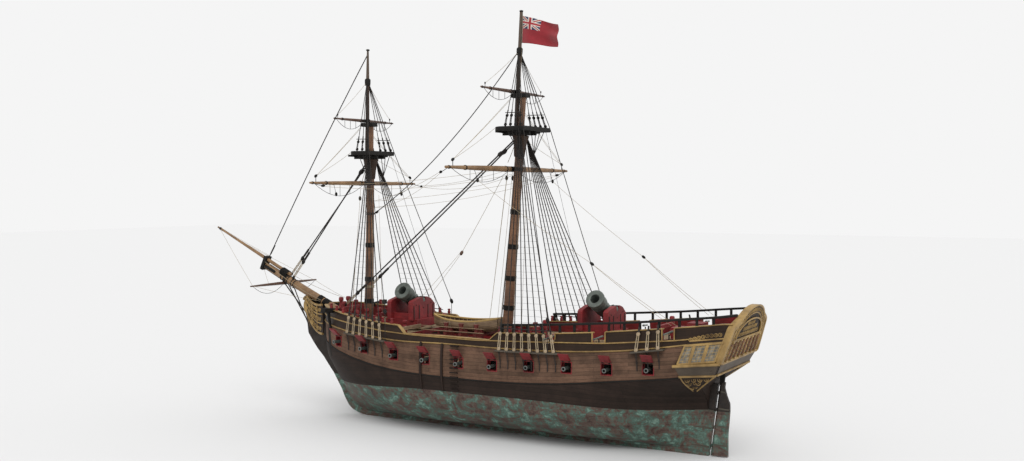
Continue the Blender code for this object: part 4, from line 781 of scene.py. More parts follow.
def upright(m, zs, radii, above=False, sides=28):
    """A round spar on a mast's or a topmast's axis with its radii at the heights zs."""
    line, slope = (upper_at, m["top_rake"]) if above else (axis_at, m["rake"])
    return carried(line(m, zs), circle(sides), (0.0, 1.0, 0.0), radii, (slope, 0.0, 1.0))


def low_radius(m, z):
    """A lower mast's radius at height z."""
    return np.interp(z, (m["foot"], (m["foot"] + m["top"]) / 2, m["top"] - 1.2, m["top"] - 0.45),
                     m["low"] * np.array((1.0, 0.91, 0.785, 0.55)))


def hoop(middle, axis, radius, thick, sides=24):
    """A ring of round section about an axis: a small circle carried round a large one."""
    axis = unit(np.asarray(axis, float))
    side = unit(np.cross(axis, (0.0, 1.0, 0.0) if abs(axis[1]) < 0.9 else (1.0, 0.0, 0.0)))
    a = np.linspace(0, 2 * np.pi, sides + 1)[:, None]
    out = np.cos(a) * side + np.sin(a) * np.cross(axis, side)
    b = np.linspace(0, 2 * np.pi, 8, endpoint=False)[None, :, None]
    away = out[:, None] * (radius + thick * np.cos(b))
    points = np.asarray(middle, float) + away + axis * (thick * np.sin(b))
    return net(points, ring=True)


for m in MASTS.values():
    top = m["top"]
    zs = np.concatenate([np.linspace(m["foot"], top - 1.3, 12), np.linspace(top - 1.2, m["cap"], 8)])
    trunk = upright(m, zs, low_radius(m, zs))
    woldings = []
    for z in m["bands"]:
        zs = z + np.linspace(-0.17, 0.17, 15)
        turns = np.array([0.0] + [0.045, 0.025] * 6 + [0.045, 0.0])
        woldings.append(painted(upright(m, zs, low_radius(m, zs) + turns), 1))
    a = np.linspace(0, 2 * np.pi, 24, endpoint=False)
    square = np.stack([np.sign(np.cos(a)) * np.abs(np.cos(a)) ** 0.6,
                       np.sign(np.sin(a)) * np.abs(np.sin(a)) ** 0.6], -1)
    zs = top + np.array((-1.95, -1.9, -1.4, -0.9, -0.62, -0.52, -0.5))
    wide = low_radius(m, zs) + np.array((0.0, 0.03, 0.07, 0.16, 0.27, 0.31, 0.25))
    hounds = carried(axis_at(m, zs), square, (0.0, 1.0, 0.0), wide, (m["rake"], 0.0, 1.0))
    back, front = axis_at(m, m["cap"] + 0.12) - (0.34, 0, 0), upper_at(m, m["cap"] + 0.12) + (0.36, 0, 0)
    cap = painted(blocks([(back + front) / 2], ((front - back)[0] / 2, 0.32, 0.14)), 1)
    build(m["mast"] + "_trunk", [trunk, *woldings], [OILED, BLACK], stands_for=[m["mast"]])
    build(m["mast"] + "_hounds_and_cap", [hounds, cap], [DARK_SPAR, BLACK], bevel=0.02)
    zs = np.array([top - 0.35, top - 0.30, m["cap"], (m["cap"] + m["head"]) / 2, m["head"] - 0.05,
                   m["head"]])
    stick = upright(m, zs, m["high"] * np.array((0.95, 1.0, 1.0, 0.92, 0.84, 0.83)), True, 20)
    zs = m["head"] + np.array((-0.42, -0.40, -0.2, 0.0, 0.06, 0.12))
    stops = painted(upright(m, zs, [m["high"] * 0.9, 0.19, 0.21, 0.21, 0.19, 0.1], True, 20), 1)
    zs = np.array([m["head"] + 0.05, m["pole"] - 1.0, m["pole"]])
    pole = painted(upright(m, zs, [0.12, (0.12 + m["tip"]) / 2, m["tip"]], True, 16), 2)
    zs = m["pole"] + np.array((-0.01, 0.0, 0.03, 0.07, 0.10, 0.12))
    truck = painted(upright(m, zs, [m["tip"], 0.11, 0.13, 0.13, 0.11, 0.04], True, 16), 1)
    build(m["mast"].replace("mast", "_topmast_pole"), [stick, stops, pole, truck],
          [DARK_SPAR, BLACK, WEATHERED], stands_for=[m["mast"].replace("mast", "_topmast")])

# Tops: round-fronted platforms of black boards with a thick rim, square aft, on trestletrees and
# crosstrees just under the hounds of each topmast's heel.
for m in MASTS.values():
    top, half, x = m["top"], m["platform"], float(axis_at(m, m["top"])[0])
    a = np.linspace(0, np.pi, 25)
    outline = np.concatenate([np.stack([half * (0.2 + 0.66 * np.sin(a)), half * np.cos(a)], -1),
                              [(-0.25 * half, -half), (-0.66 * half, -half), (-0.66 * half, -0.5 * half),
                               (-0.66 * half, 0.5 * half), (-0.66 * half, half), (-0.25 * half, half)]])
    layers = ((0.0, -0.22), (0.5, -0.22), (0.93, -0.22), (0.985, -0.26), (1.0, -0.2), (1.0, 0.0),
              (0.985, 0.04), (0.93, 0.04), (0.92, -0.06), (0.5, -0.06), (0.0, -0.06))
    points = np.array([[(x + s * px, s * py, top + dz) for px, py in outline] for s, dz in layers])
    platform = net(points, ring=True)
    tree = m["low"] * 0.785 + 0.16
    trees = blocks([(x + 0.125, s * tree, top - 0.36) for s in (1, -1)], (1.02, 0.1, 0.14))
    cross = blocks([(x + px, 0.0, top - 0.28) for px in (-0.5, 1.0)], (0.1, half * 0.85, 0.07))
    build(m["mast"].replace("mast", "_top_platform"), [platform, trees, cross], BLACK,
          stands_for=[m["mast"].replace("mast", "_top")], bevel=0.012)


# Yards: tapered pine spars, the lower pair bare and pale, the upper pair varnished dark, each in
# a parrel of rope and ribs round its mast, with iron bands and footropes hung on stirrups.
YARD_WOOD = planks("bare_pine_yard", ("#9a7853", "#8a6a48", "#624b37"), "#5a4433", 4000, 9000,
                   rough=0.6, grain=0.6, stain=0.55, gap=0.0)
DARK_YARD = planks("varnished_dark_yard", ("#5f4334", "#563c2f", "#3f2c22"), "#33241c", 4000, 9000,
                   rough=0.5, grain=0.5, stain=0.5, gap=0.0)
ROPE = planks("tarred_hemp_rope", ("#2b2622", "#24201d", "#1b1815"), "#12100e", 60, 140, rough=0.85,
              grain=0.3, gap=0.0)
HEMP = planks("bare_hemp_line", ("#a89a80", "#9b8c72", "#7d705b"), "#6a5e4b", 60, 140, rough=0.85,
              grain=0.3, gap=0.0)


def ropes(starts, ends, radius, sag=0.0, steps=8, sides=5):
    """Round ropes from starts to ends, each drooping in a parabola by sag at its middle."""
    starts, ends = np.atleast_2d(np.asarray(starts, float)), np.atleast_2d(np.asarray(ends, float))
    starts, ends = np.broadcast_arrays(starts, ends)
    n = len(starts)
    t = np.linspace(0, 1, steps)[None, :, None]
    path = starts[:, None] * (1 - t) + ends[:, None] * t
    path = path - np.array((0.0, 0.0, 4.0)) * (np.broadcast_to(sag, (n,))[:, None, None] * t * (1 - t))
    run = unit(ends - starts)
    ref = np.where(np.abs(run[:, 2:]) > 0.9, (0.0, 1.0, 0.0), (0.0, 0.0, 1.0))
    side = unit(np.cross(run, ref))
    rise = np.cross(side, run)
    a = np.linspace(0, 2 * np.pi, sides, endpoint=False)
    ring = np.cos(a)[None, :, None] * side[:, None] + np.sin(a)[None, :, None] * rise[:, None]
    size = np.broadcast_to(radius, (n,))[:, None, None, None]
    points = path[:, :, None] + ring[:, None] * size
    points = np.concatenate([np.broadcast_to(path[:, :1, None], (n, 1, sides, 3)), points,
                             np.broadcast_to(path[:, -1:, None], (n, 1, sides, 3))], axis=1)
    one = net(points[0], ring=True)
    count = (steps + 2) * sides
    quads = one[1][None] + count * np.arange(n)[:, None, None]
    length = np.linalg.norm(ends - starts, axis=1) / np.linalg.norm(ends[0] - starts[0])
    uv = one[2][None] * np.stack([length, np.ones(n)], -1)[:, None, None]
    return points.reshape(-1, 3), quads.reshape(-1, 4), uv.reshape(-1, 4, 2), 0


def strands(lines, radius=None, **settings):
    """Ropes listed as (start, end) with one radius, or as (start, end, radius)."""
    starts, ends, *radii = (np.array(column) for column in zip(*lines))
    return ropes(starts, ends, *(radii if radius is None else [radius]), **settings)


def bunch(path, radius, sides=6):
    """One rope through any number of points."""
    path = np.asarray(path, float)
    span = path[-1] - path[0]
    up = (0.0, 1.0, 0.0) if abs(span[2]) > 0.8 * np.linalg.norm(span) else (0.0, 0.0, 1.0)
    return carried(path, circle(sides, radius), up)


def block_at(point, toward, size=0.16):
    """A wooden rope block: an oval shell, its long axis in line with its rope."""
    return turned(np.asarray(point, float) - unit(np.asarray(toward, float)) * size, toward,
                  [(size * (1 - math.cos(a)), 0.62 * size * math.sin(a))
                   for a in np.linspace(0, np.pi, 7)], 8)


YARDS = (("fore_yard", "fore", 16.89, 6.28, 0.16, False),
         ("fore_topsail_yard", "fore", 21.41, 3.54, 0.11, True),
         ("main_yard", "main", 17.8, 8.26, 0.19, False),
         ("main_topsail_yard", "main", 22.98, 4.35, 0.12, True))
YARD_AXIS = {}
for name, which, z, half, radius, upper in YARDS:
    m = MASTS[which]
    grip = (np.interp(z - 0.12, (m["cap"], m["head"]), (m["high"], m["high"] * 0.83)) if upper
            else low_radius(m, z - 0.12))
    grip = float(grip) + 0.001
    centre = (upper_at if upper else axis_at)(m, z)
    middle = centre + (grip + 0.012 + radius, 0.0, 0.0)
    YARD_AXIS[name] = (centre, middle, half)
    t = np.linspace(-1, 1, 25)
    radii = radius * np.interp(np.abs(t), (0.0, 0.2, 0.6, 0.97, 1.0), (1.0, 1.0, 0.8, 0.45, 0.42))
    stick = carried(middle + t[:, None] * np.array((0, half, 0)), circle(16), (0.0, 0.0, 1.0), radii,
                    (0, 1, 0))
    fittings = [painted(turned(middle + (0, s * half * q, 0), (0, 1, 0), disc(radius * g + 0.02, 0.09),
                               16), 1) for s in (1, -1) for q, g in ((0.95, 0.5), (0.72, 0.74), (0.1, 1.0))]
    slope = m["top_rake"] if upper else m["rake"]
    parrel = [painted(hoop(centre + (slope * dz, 0, dz), (slope, 0, 1), grip + 0.03, 0.03), 1)
              for dz in (-0.08, 0.0, 0.08)]
    sling = painted(blocks([middle - (radius * 0.4, 0.0, 0.0)], (radius * 0.9, 0.3, radius * 0.9)), 1)
    foot = []
    slack = 0.62 if upper else 0.85
    droop = lambda q: 0.05 + slack * 4 * q * (1 - q)
    for s in (1, -1):
        q = np.linspace(0, 1, 13)
        line = middle + np.stack([0 * q - radius * 0.5, s * half * (0.05 + 0.89 * q), -droop(q)], -1)
        foot.append(painted(bunch(line, 0.016), 2))
        for k in (0.3, 0.5, 0.7):
            stirrup = middle + (-radius * 0.5, s * half * (0.05 + 0.89 * k), 0)
            foot.append(painted(ropes([stirrup], [stirrup - UP * (droop(k) + 0.02)], 0.016), 2))
    build(name + "_spar", [stick, *fittings, *parrel, sling, *foot],
          [DARK_YARD if upper else YARD_WOOD, BLACK, ROPE], body=name, stands_for=[name])


# Bowsprit, jibboom and spritsail yard: the jibboom lies over the bowsprit's outer end through
# the cap, lashed down at its heel, and the small dark yard hangs under the bowsprit.
SPRIT_FOOT, SPRIT_END, BOOM_END = (np.array((x, 0.0, z))
                                   for x, z in ((28.3, 7.30), (35.75, 10.65), (40.58, 13.5)))
sprit = unit(SPRIT_END - SPRIT_FOOT)
lift = np.array((-sprit[2], 0.0, sprit[0]))
reach_out = float(np.linalg.norm(SPRIT_END - SPRIT_FOOT))
on_sprit = lambda q, up=0.0, y=0.0: SPRIT_FOOT + sprit * reach_out * q + lift * up + np.array((0.0, y, 0.0))
sprit_radius = lambda q: np.interp(q, (0, 0.55, 1), (0.31, 0.29, 0.22))
q = np.linspace(0, 1, 14)
stick = carried(SPRIT_FOOT + sprit * (reach_out * q)[:, None], circle(28), (0.0, 1.0, 0.0),
                sprit_radius(q), sprit)
frame_axes = np.array((sprit, (0.0, 1.0, 0.0), lift))
cap = painted(blocks([SPRIT_END + sprit * 0.01 + lift * 0.19], (0.13, 0.33, 0.55), frame_axes), 1)
gammon = []
for far, count in ((1.35, 9), (2.0, 7)):
    for k in range(count):
        s = far + 0.06 * k
        gammon.append(painted(hoop(SPRIT_FOOT + sprit * s, sprit, sprit_radius(s / reach_out) + 0.015,
                                   0.03), 1))
boom_at_cap = SPRIT_END + lift * 0.5
boom_run = unit(BOOM_END - boom_at_cap)
boom_foot = boom_at_cap - 2.6 * boom_run
boom_long = float(np.linalg.norm(BOOM_END - boom_foot))
heel = [painted(hoop(boom_foot + boom_run * s - lift * 0.14, boom_run, 0.30, 0.035), 1)
        for s in np.linspace(0.25, 0.85, 8)]
saddle_block = painted(blocks([boom_foot + boom_run * 0.55 - lift * 0.24], (0.5, 0.12, 0.14), frame_axes),
                       1)
bees = painted(blocks([SPRIT_END - sprit * 0.75 + lift * 0.05 + np.array((0, s * 0.27, 0))
                       for s in (1, -1)], (0.55, 0.07, 0.1), frame_axes), 1)
build("bowsprit_spar", [stick, *gammon, *heel], [YARD_WOOD, BLACK], stands_for=["bowsprit"])
build("bowsprit_fittings", [cap, saddle_block, bees], [YARD_WOOD, BLACK], bevel=0.02)
t = np.linspace(0, 1, 12)
radii = np.interp(t * boom_long, (0, 3.0, boom_long), (0.13, 0.13, 0.065))
boom = carried(boom_foot + boom_run * (t * boom_long)[:, None], circle(18), (0.0, 1.0, 0.0), radii,
               boom_run)
tip = painted(turned(BOOM_END - boom_run * 0.35, boom_run, ((0, 0), (0, 0.1), (0.07, 0.11), (0.14, 0.09),
                                                            (0.16, 0)), 14), 1)
build("jibboom_spar", [boom, tip], [YARD_WOOD, BLACK], stands_for=["jibboom"])
mid = on_sprit(0.72)
mid_r = float(sprit_radius(0.72 - 0.1 / reach_out)) + 0.001
drop = mid - lift * (mid_r + 0.14)
t = np.linspace(-1, 1, 21)
radii = 0.115 * np.interp(np.abs(t), (0, 0.2, 0.6, 1), (1, 1, 0.78, 0.43))
spread = carried(drop + t[:, None] * np.array((0, 3.75, 0)), circle(14), (0.0, 0.0, 1.0), radii, (0, 1, 0))
slings = [painted(hoop(mid + sprit * d, sprit, mid_r + 0.035, 0.03), 1) for d in (-0.06, 0.0, 0.06)]
lashing = [painted(hoop(drop + (0, d, 0) + lift * 0.04, (0, 1, 0), 0.14, 0.025), 1)
           for d in (-0.1, 0.0, 0.1)]
foot = []
for s in (1, -1):
    k = np.linspace(0, 1, 11)
    foot.append(painted(bunch(drop + np.stack([0 * k - 0.05, s * (0.2 + 3.3 * k),
                                               -0.05 - 0.6 * 4 * k * (1 - k)], -1), 0.015), 1))
build("spritsail_yard_spar", [spread, *slings, *lashing, *foot], [DARK_YARD, ROPE], body="spritsail_yard",
      stands_for=["spritsail_yard"])

# Stem, sternpost and rudder: oak timbers sheathed with the same copper up to the waterline and tarred
# above it. The rudder hangs on four copper pintles; the lower three have straps on the planking.
SHEATHED = weathered_copper("copper_over_tarred_oak", flat=True)
for word in ("stem", "sternpost", "rudder", "keel"):
    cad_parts[word].data.materials.clear()
    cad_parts[word].data.materials.append(SHEATHED)
STRAP = planks("copper_strap_green", ("#5d5247", "#4f5a50", "#40382f"), "#2a2622", 2000, 3000,
               rough=0.6, gap=0.0, metal=0.3)
hull_straps, rudder_straps = [], []
for z in (0.55, 1.7, 2.8, 3.85):
    x = -0.01 - 0.59 * (z - 0.08) / 4.51
    for side in (1, -1):
        xs = np.linspace(x + 0.02, x + 1.15, 10)
        y = np.maximum(hull_half(xs, z), np.where(xs < 0.45, 0.17, 0.0)) + 0.012
        if z < 3.5:  # the top pintle has its gudgeon on the sternpost alone
            hull_straps.append(carried(np.stack([xs, side * y, z + 0.03 + 0.05 * (xs - x)], -1),
                                       bar(0.012, 0.05)))
        edge_x = float(np.interp(z + 0.16, (0.06, 1.34, 2.83, 3.32, 3.80, 4.28),
                                 (-1.20, -1.19, -1.31, -1.30, -1.11, -0.98)))
        fore_end = np.array((x - 0.26, side * 0.155, z + 0.2))
        aft_end = np.array((edge_x + 0.02, side * 0.118, z + 0.16))
        rudder_straps.append(carried(np.linspace(fore_end, aft_end, 5), bar(0.012, 0.045)))
build("gudgeon_straps", hull_straps, STRAP)
head_z = np.linspace(4.5, 5.2, 5)
rudder_head = carried(np.stack([-0.80 - 0.13 * (head_z - 4.5), 0 * head_z, head_z], -1),
                      [(-0.15, -0.1), (-0.15, 0.1), (0.13, 0.1), (0.13, -0.1)], (0, 1, 0))
build("rudder_head", [rudder_head], BLACK, body="rudder", bevel=0.01)
build("pintle_straps", rudder_straps, STRAP, body="rudder")
z, v = np.meshgrid([*np.linspace(2.8, 5.6, 20), *np.linspace(5.8, 7.62, 8)],
                   np.linspace(-1, 1, 25), indexing="ij")
counter = np.stack([stern_x(z), v * np.minimum(stern_half(z), mid_half(z)), z], -1)
build("stern_counter", [net(counter)], WALE, shell=True)


# Transom: a raked and arched stern board of carved oak, dark between ochre mouldings, with leaded
# lights between its pilasters and a thick taffrail, carved with a running scroll, over the top.
def leaded_glass():
    """Small panes of old glass in lead cames 14 mm wide: grey-blue, each a little different."""
    mat = blank("leaded_crown_glass")
    place = add(mat, "TexCoord")
    panes = add(mat, "TexBrick", {"Vector": place.outputs["UV"], "Color1": tint("#827c70"),
                                  "Color2": tint("#625e55"), "Mortar": tint("#a08550"),
                                  "Scale": 1.0, "Mortar Size": 0.008, "Bias": 0.0,
                                  "Brick Width": 0.11, "Row Height": 0.1}, offset=0.0)
    haze = add(mat, "TexNoise", {"Vector": place.outputs["UV"], "Scale": 9.0, "Detail": 4.0})
    dull = add(mat, "ValToRGB", {"Fac": haze.outputs["Fac"]}, stops=((0.35, "#8f8f8f"), (0.65, "#ffffff")))
    tone = add(mat, "MixRGB", {"Fac": 0.7, "Color1": panes.outputs["Color"],
                               "Color2": dull.outputs[0]}, blend_type="MULTIPLY")
    rough = add(mat, "MapRange", {"Value": panes.outputs["Fac"], "To Min": 0.12, "To Max": 0.6})
    bump = add(mat, "Bump", {"Height": panes.outputs["Fac"], "Strength": 0.4, "Distance": 0.006})
    skin = add(mat, "BsdfPrincipled",
               {"Base Color": tone.outputs[0], "Roughness": rough.outputs[0], "Normal": bump.outputs[0]})
    add(mat, "OutputMaterial", {"Surface": skin.outputs[0]})
    return mat


GLASS = leaded_glass()
CARVED = planks("gilded_carving", ("#b5955a", "#a08049", "#5f4830"), "#5a4628", 900, 900, rough=0.5,
                grain=0.5, stain=0.8, gap=0.0, metal=0.25)
GROUND = planks("dark_umber_ground", ("#33271d", "#2b2018", "#201813"), "#17110d", 900, 4000,
                rough=0.65, shine=0.25)
PILASTER = planks("red_brown_pilaster", ("#8a6248", "#7a543e", "#5a3e2f"), "#2c1b15", 160, 900,
                  rough=0.6, grain=0.5)
BAND = planks("grey_brown_band", ("#5a4f43", "#50463b", "#3f372e"), "#292421", 1500, 5000, rough=0.6,
              gap=0.0, shine=0.3)
SILL_X, SILL_Z = -1.83, 6.25
transom_half = curve((5.5, 3.04), (6.25, 3.34), (7.0, 3.22), (7.8, 2.94), (8.2, 2.72), (9.5, 2.1))
stern_face = lambda z: SILL_X + np.where(z > SILL_Z, -0.35, -0.5) * (z - SILL_Z)


def along_path(path, count):
    """A path's points again, evenly spaced."""
    path = np.asarray(path, float)
    far = np.concatenate([[0.0], np.cumsum(np.linalg.norm(np.diff(path, axis=0), axis=1))])
    at = np.linspace(0, far[-1], count)
    return np.stack([np.interp(at, far, path[:, k]) for k in range(3)], -1)


def scrollwork(path, out, size, thick, both=False):
    """Running scrolls carved on a surface: in each bay of the path a stem that winds inward as
    r = half a bay times exp(-0.2 angle), to the left and right of the path in turn."""
    path = np.asarray(path, float)
    long = np.linalg.norm(np.diff(path, axis=0), axis=1).sum()
    bays = max(2, int(round(long / size)))
    line = along_path(path, 2 * bays + 1)
    run = unit(np.gradient(line, axis=0))
    out = np.broadcast_to(unit(np.asarray(out, float)), (3,))
    wound = np.linspace(0.0, 2.7 * np.pi, 18)
    r = 0.52 * size * np.exp(-0.2 * wound)
    parts = []
    for k in range(bays):
        middle, t = line[2 * k + 1], run[2 * k + 1]
        b = unit(np.cross(out, t))
        for flip in ((1.0, -1.0) if both else (1.0 if k % 2 else -1.0,)):
            curl = middle + (-np.cos(wound) * r)[:, None] * t + (np.sin(wound) * r * flip)[:, None] * b
            parts.append(carried(curl, circle(5), out, thick * np.linspace(1.15, 0.55, 18)))
    return parts


def faced(y, z, proud=0.0):
    """Points on the transom's after face, a little aft of it."""
    return np.stack(np.broadcast_arrays(stern_face(np.asarray(z, float)) - proud, y, z), -1)


v = np.sin(np.linspace(-np.pi / 2, np.pi / 2, 41))
crown = 8.2 + 1.27 * np.sqrt(np.maximum(0.0, 1 - np.abs(v) ** 2.2))
z = np.concatenate([np.broadcast_to(np.array((5.5, 5.9, 6.25, 6.6, 7.0, 7.4, 7.7))[None], (41, 7)),
                    7.7 + (crown - 7.7)[:, None] * np.array((0.3, 0.6, 0.8, 1.0))[None]], axis=1)
y = v[:, None] * transom_half(z)
rear = faced(y, z)
thick = np.interp(z, (7.7, 8.4), (0.58, 0.35))
front = np.stack([np.where(z < 7.6, stern_x(z) - 0.004, stern_face(z) + thick), y, z], -1)
stern_board = net(closed_ends(np.concatenate([rear, front[:, ::-1]], axis=1)), ring=True)
side_z = np.linspace(6.28, 8.2, 12)
edge_y = np.concatenate([transom_half(side_z), v[::-1] * transom_half(crown), -transom_half(side_z[::-1])])
edge_z = np.concatenate([side_z, crown[::-1], side_z[::-1]])
rim = along_path(np.stack([0 * edge_y, edge_y, edge_z], -1), 80)
tangent = unit(np.gradient(rim, axis=0))
inward = np.stack([0 * rim[:, 0], -tangent[:, 2], tangent[:, 1]], -1)
inward = np.where((inward * (np.array((0, 0, 7.4)) - rim)).sum(1, keepdims=True) < 0, -inward, inward)


def inset(far, proud):
    """The arch's outline moved inwards by far, on the after face."""
    p = rim + inward * far
    return np.stack([stern_face(p[:, 2]) - proud, p[:, 1], p[:, 2]], -1)


fore_x = stern_face(rim[:, 2]) + np.interp(rim[:, 2], (7.7, 8.4), (0.45, 0.38))
outer_fore = np.stack([fore_x, rim[:, 1] - 0.03 * inward[:, 1], rim[:, 2] - 0.03 * inward[:, 2]], -1)
inner_fore = np.stack([fore_x, rim[:, 1] + 0.3 * inward[:, 1], rim[:, 2] + 0.3 * inward[:, 2]], -1)
board = np.stack([inset(-0.03, 0.07), outer_fore, inner_fore, inset(0.5, 0.0), inset(0.5, 0.06),
                  inset(0.44, 0.07), inset(0.43, 0.04), inset(0.08, 0.04), inset(0.07, 0.08)], 1)
taffrail = net(closed_ends(board), ring=True)
back_out = (-1.0, 0.0, -0.35)
arch = inset(0.26, 0.055)
transom_parts = [painted(stern_board, 2), taffrail]
ground_band = net(np.stack([inset(0.09, 0.045), inset(0.42, 0.045)], 1))
transom_parts.append(painted(ground_band, 2))
carving = scrollwork(arch, back_out, 0.3, 0.017, both=True)
arch_in = along_path(faced(2.35 * np.cos(np.linspace(0, np.pi, 40)),
                           7.62 + 1.05 * np.sin(np.linspace(0, np.pi, 40)) ** 0.8, 0.05), 40)
bead = np.array([(-0.045, 0.0), (-0.05, 0.04), (-0.02, 0.07), (0.02, 0.07), (0.05, 0.04), (0.045, 0.0)])
transom_parts.append(carried(arch_in, bead, back_out))
for half_y, z_mid, size in ((1.9, 7.82, 0.34), (1.4, 8.13, 0.32), (0.7, 8.4, 0.28)):
    carving += scrollwork(faced(np.linspace(half_y, -half_y, 30), z_mid, 0.05), back_out, size, 0.015,
                          both=True)
rail_section = np.array([(-0.06, -0.06), (-0.08, -0.02), (-0.1, 0.03), (-0.06, 0.07), (0.06, 0.07),
                         (0.06, -0.06)])
for z_rail, half_y, size in ((7.52, 2.72, 1.0), (6.27, 3.36, 1.2), (5.52, 3.07, 0.9)):
    ys = np.linspace(half_y, -half_y, 30)
    transom_parts.append(carried(faced(ys, z_rail, 0.03), rail_section * (-1, 1), (0, 0, 1),
                                 np.full(30, size)))
band_y = np.linspace(3.28, -3.28, 24)
transom_parts.append(painted(net(np.stack([faced(band_y, 6.22, 0.015), faced(band_y * 0.94, 5.55, 0.015)],
                                          1)), 4))
for k, q in enumerate(np.linspace(-1, 1, 8)):
    y_low, y_high = q * 2.75, q * 2.55
    low, high = faced(y_low, 6.36, 0.06), faced(y_high, 7.44, 0.06)
    transom_parts.append(painted(carried(np.linspace(low, high, 6),
                                         [(-0.11, -0.05), (-0.11, 0.03), (-0.05, 0.06), (0.05, 0.06),
                                          (0.11, 0.03), (0.11, -0.05)], back_out), 3))
    carving += scrollwork(np.linspace(low, high, 8) - (0.06, 0, 0), back_out, 0.24, 0.024)
    for p in (low, high):
        transom_parts.append(blocks([p - (0.01, 0, 0)], (0.08, 0.15, 0.045)))
    if q < 0.99:
        step = 2 / 7 * np.array((2.75, 2.55))
        corner = [faced(y_low + 0.13, 6.42, 0.02), faced(y_low + step[0] - 0.13, 6.42, 0.02),
                  faced(y_high + step[1] - 0.13, 7.4, 0.02), faced(y_high + 0.13, 7.4, 0.02)]
        tall, wide_pane = 1.05 * SCALE, 0.42 * SCALE
        pane_uv = np.array([[(0, 0), (wide_pane, 0)], [(0, tall), (wide_pane, tall)]])
        transom_parts.append(painted(net(np.array([[corner[0], corner[1]], [corner[3], corner[2]]]),
                                         uv=pane_uv), 5))
build("carved_transom", transom_parts, [GILT, BLACK, GROUND, PILASTER, BAND, GLASS], stands_for=["transom"])
build("transom_scrolls", carving, CARVED)

# Quarter galleries: shallow bays on the side with three raked leaded lights between gilded frames,
# a dark band under their sill, a carved drop below it and scrolls over their lintel.
side_line = np.array([(0.9, 5.95), (0.6, 5.33), (0.45, 4.75), (0.34, 4.3), (0.1, 4.3), (-0.6, 4.85),
                      (-1.42, 5.48), (-1.81, 6.24), (-2.07, 7.0), (-2.31, 7.7), (-2.29, 8.12),
                      (-1.1, 8.03), (-0.05, 7.56), (0.28, 7.19), (0.9, 5.95)])


def on_side(x, z, proud=0.0):
    """Points on the ship's side by length and height, a little off its planking."""
    x, z = np.broadcast_arrays(np.asarray(x, float), np.asarray(z, float))
    return np.stack([x, hull_half(np.maximum(x, stern_x(z) + 0.02), z) + proud, z], -1)


def laid(a, b, section, proud, count=14):
    """A moulding on the side from a to b, each a length and a height."""
    t = np.linspace(0, 1, count)
    return carried(on_side(a[0] + (b[0] - a[0]) * t, a[1] + (b[1] - a[1]) * t, proud), section,
                   (0.1, 1.0, 0.15))


outline = along_path(np.stack([side_line[:, 0], 0 * side_line[:, 0], side_line[:, 1]], -1), 72)[:-1]
rings = []
for grow, proud in ((1.0, -0.1), (1.0, 0.1), (0.98, 0.13), (0.75, 0.13), (0.5, 0.13), (0.25, 0.13),
                    (0.0, 0.13)):
    rings.append(on_side(-0.7 + (outline[:, 0] + 0.7) * grow, 6.5 + (outline[:, 2] - 6.5) * grow, proud))
bay = [painted(net(np.array(rings), ring=True), 1)]
frame_bar = np.array([(-0.055, -0.02), (-0.06, 0.02), (-0.03, 0.05), (0.03, 0.05), (0.06, 0.02),
                      (0.055, -0.02)])
top_a, top_b, low_a, low_b = (np.array(p) for p in ((0.28, 7.18), (-1.94, 7.5), (0.68, 6.1), (-1.55, 6.4)))
for t0, t1, b0, b1 in ((0.0, 0.25, 0.0, 0.3), (0.28, 0.61, 0.34, 0.66), (0.64, 1.0, 0.69, 1.0)):
    q, h = np.meshgrid(np.linspace(0, 1, 6), np.linspace(0, 1, 7), indexing="ij")
    upper_p = top_a + (top_b - top_a) * (t0 + (t1 - t0) * q)[..., None]
    lower_p = low_a + (low_b - low_a) * (b0 + (b1 - b0) * q)[..., None]
    flat_p = lower_p * (1 - h[..., None]) + upper_p * h[..., None]
    width = 2.25 * (t1 - t0)
    bay.append(painted(net(on_side(flat_p[..., 0], flat_p[..., 1], 0.145),
                           uv=np.stack([q * width, h * 1.15], -1) * SCALE), 2))
    for side_t, side_b in ((t0, b0), (t1, b1)):
        bay.append(laid(low_a + (low_b - low_a) * side_b, top_a + (top_b - top_a) * side_t, frame_bar,
                        0.14))
bay += [laid(top_a + (0.05, 0.02), top_b + (-0.1, 0.02), frame_bar * 1.3, 0.14),
        laid(low_a, low_b, frame_bar, 0.14), laid((0.98, 5.96), (-1.86, 6.26), frame_bar * (1.5, 2.2),
                                                  0.15),
        laid((0.68, 5.33), (-1.5, 5.52), frame_bar * (1.2, 1.6), 0.15),
        laid((0.34, 4.3), (0.62, 5.3), frame_bar * 0.8, 0.12),
        laid((0.12, 4.3), (-1.42, 5.46), frame_bar * 0.8, 0.12),
        laid((0.0, 7.5), (-2.2, 7.78), frame_bar * 0.7, 0.13)]
band_t = np.linspace(0, 1, 16)
band = np.stack([on_side(0.86 - 2.62 * band_t, 5.9 + 0.28 * band_t, 0.165),
                 on_side(0.64 - 2.1 * band_t, 5.38 + 0.19 * band_t, 0.165)], 1)
bay.append(painted(net(band), 3))
board = [(-0.2, -0.22), (-0.21, 0.03), (-0.18, 0.05), (0.18, 0.05), (0.21, 0.03), (0.2, -0.22)]
tall = np.linspace(6.33, 8.8, 20)
along_x = -1.755 - 0.32 * (tall - 6.33)
near = hull_half(np.maximum(along_x, stern_x(tall) + 0.02), tall) + 0.12
arched = transom_half(tall) * np.maximum(0.0, 1 - np.clip((tall - 8.2) / 1.27, 0, 1) ** 2) ** 0.4545 - 0.02
merge = np.clip((tall - 8.35) / 0.5, 0, 1)
bay.append(carried(np.stack([along_x, near * (1 - merge) + arched * merge, tall], -1), board,
                   (0.1, 1.0, 0.15)))
side_out = (0.1, 1.0, 0.1)
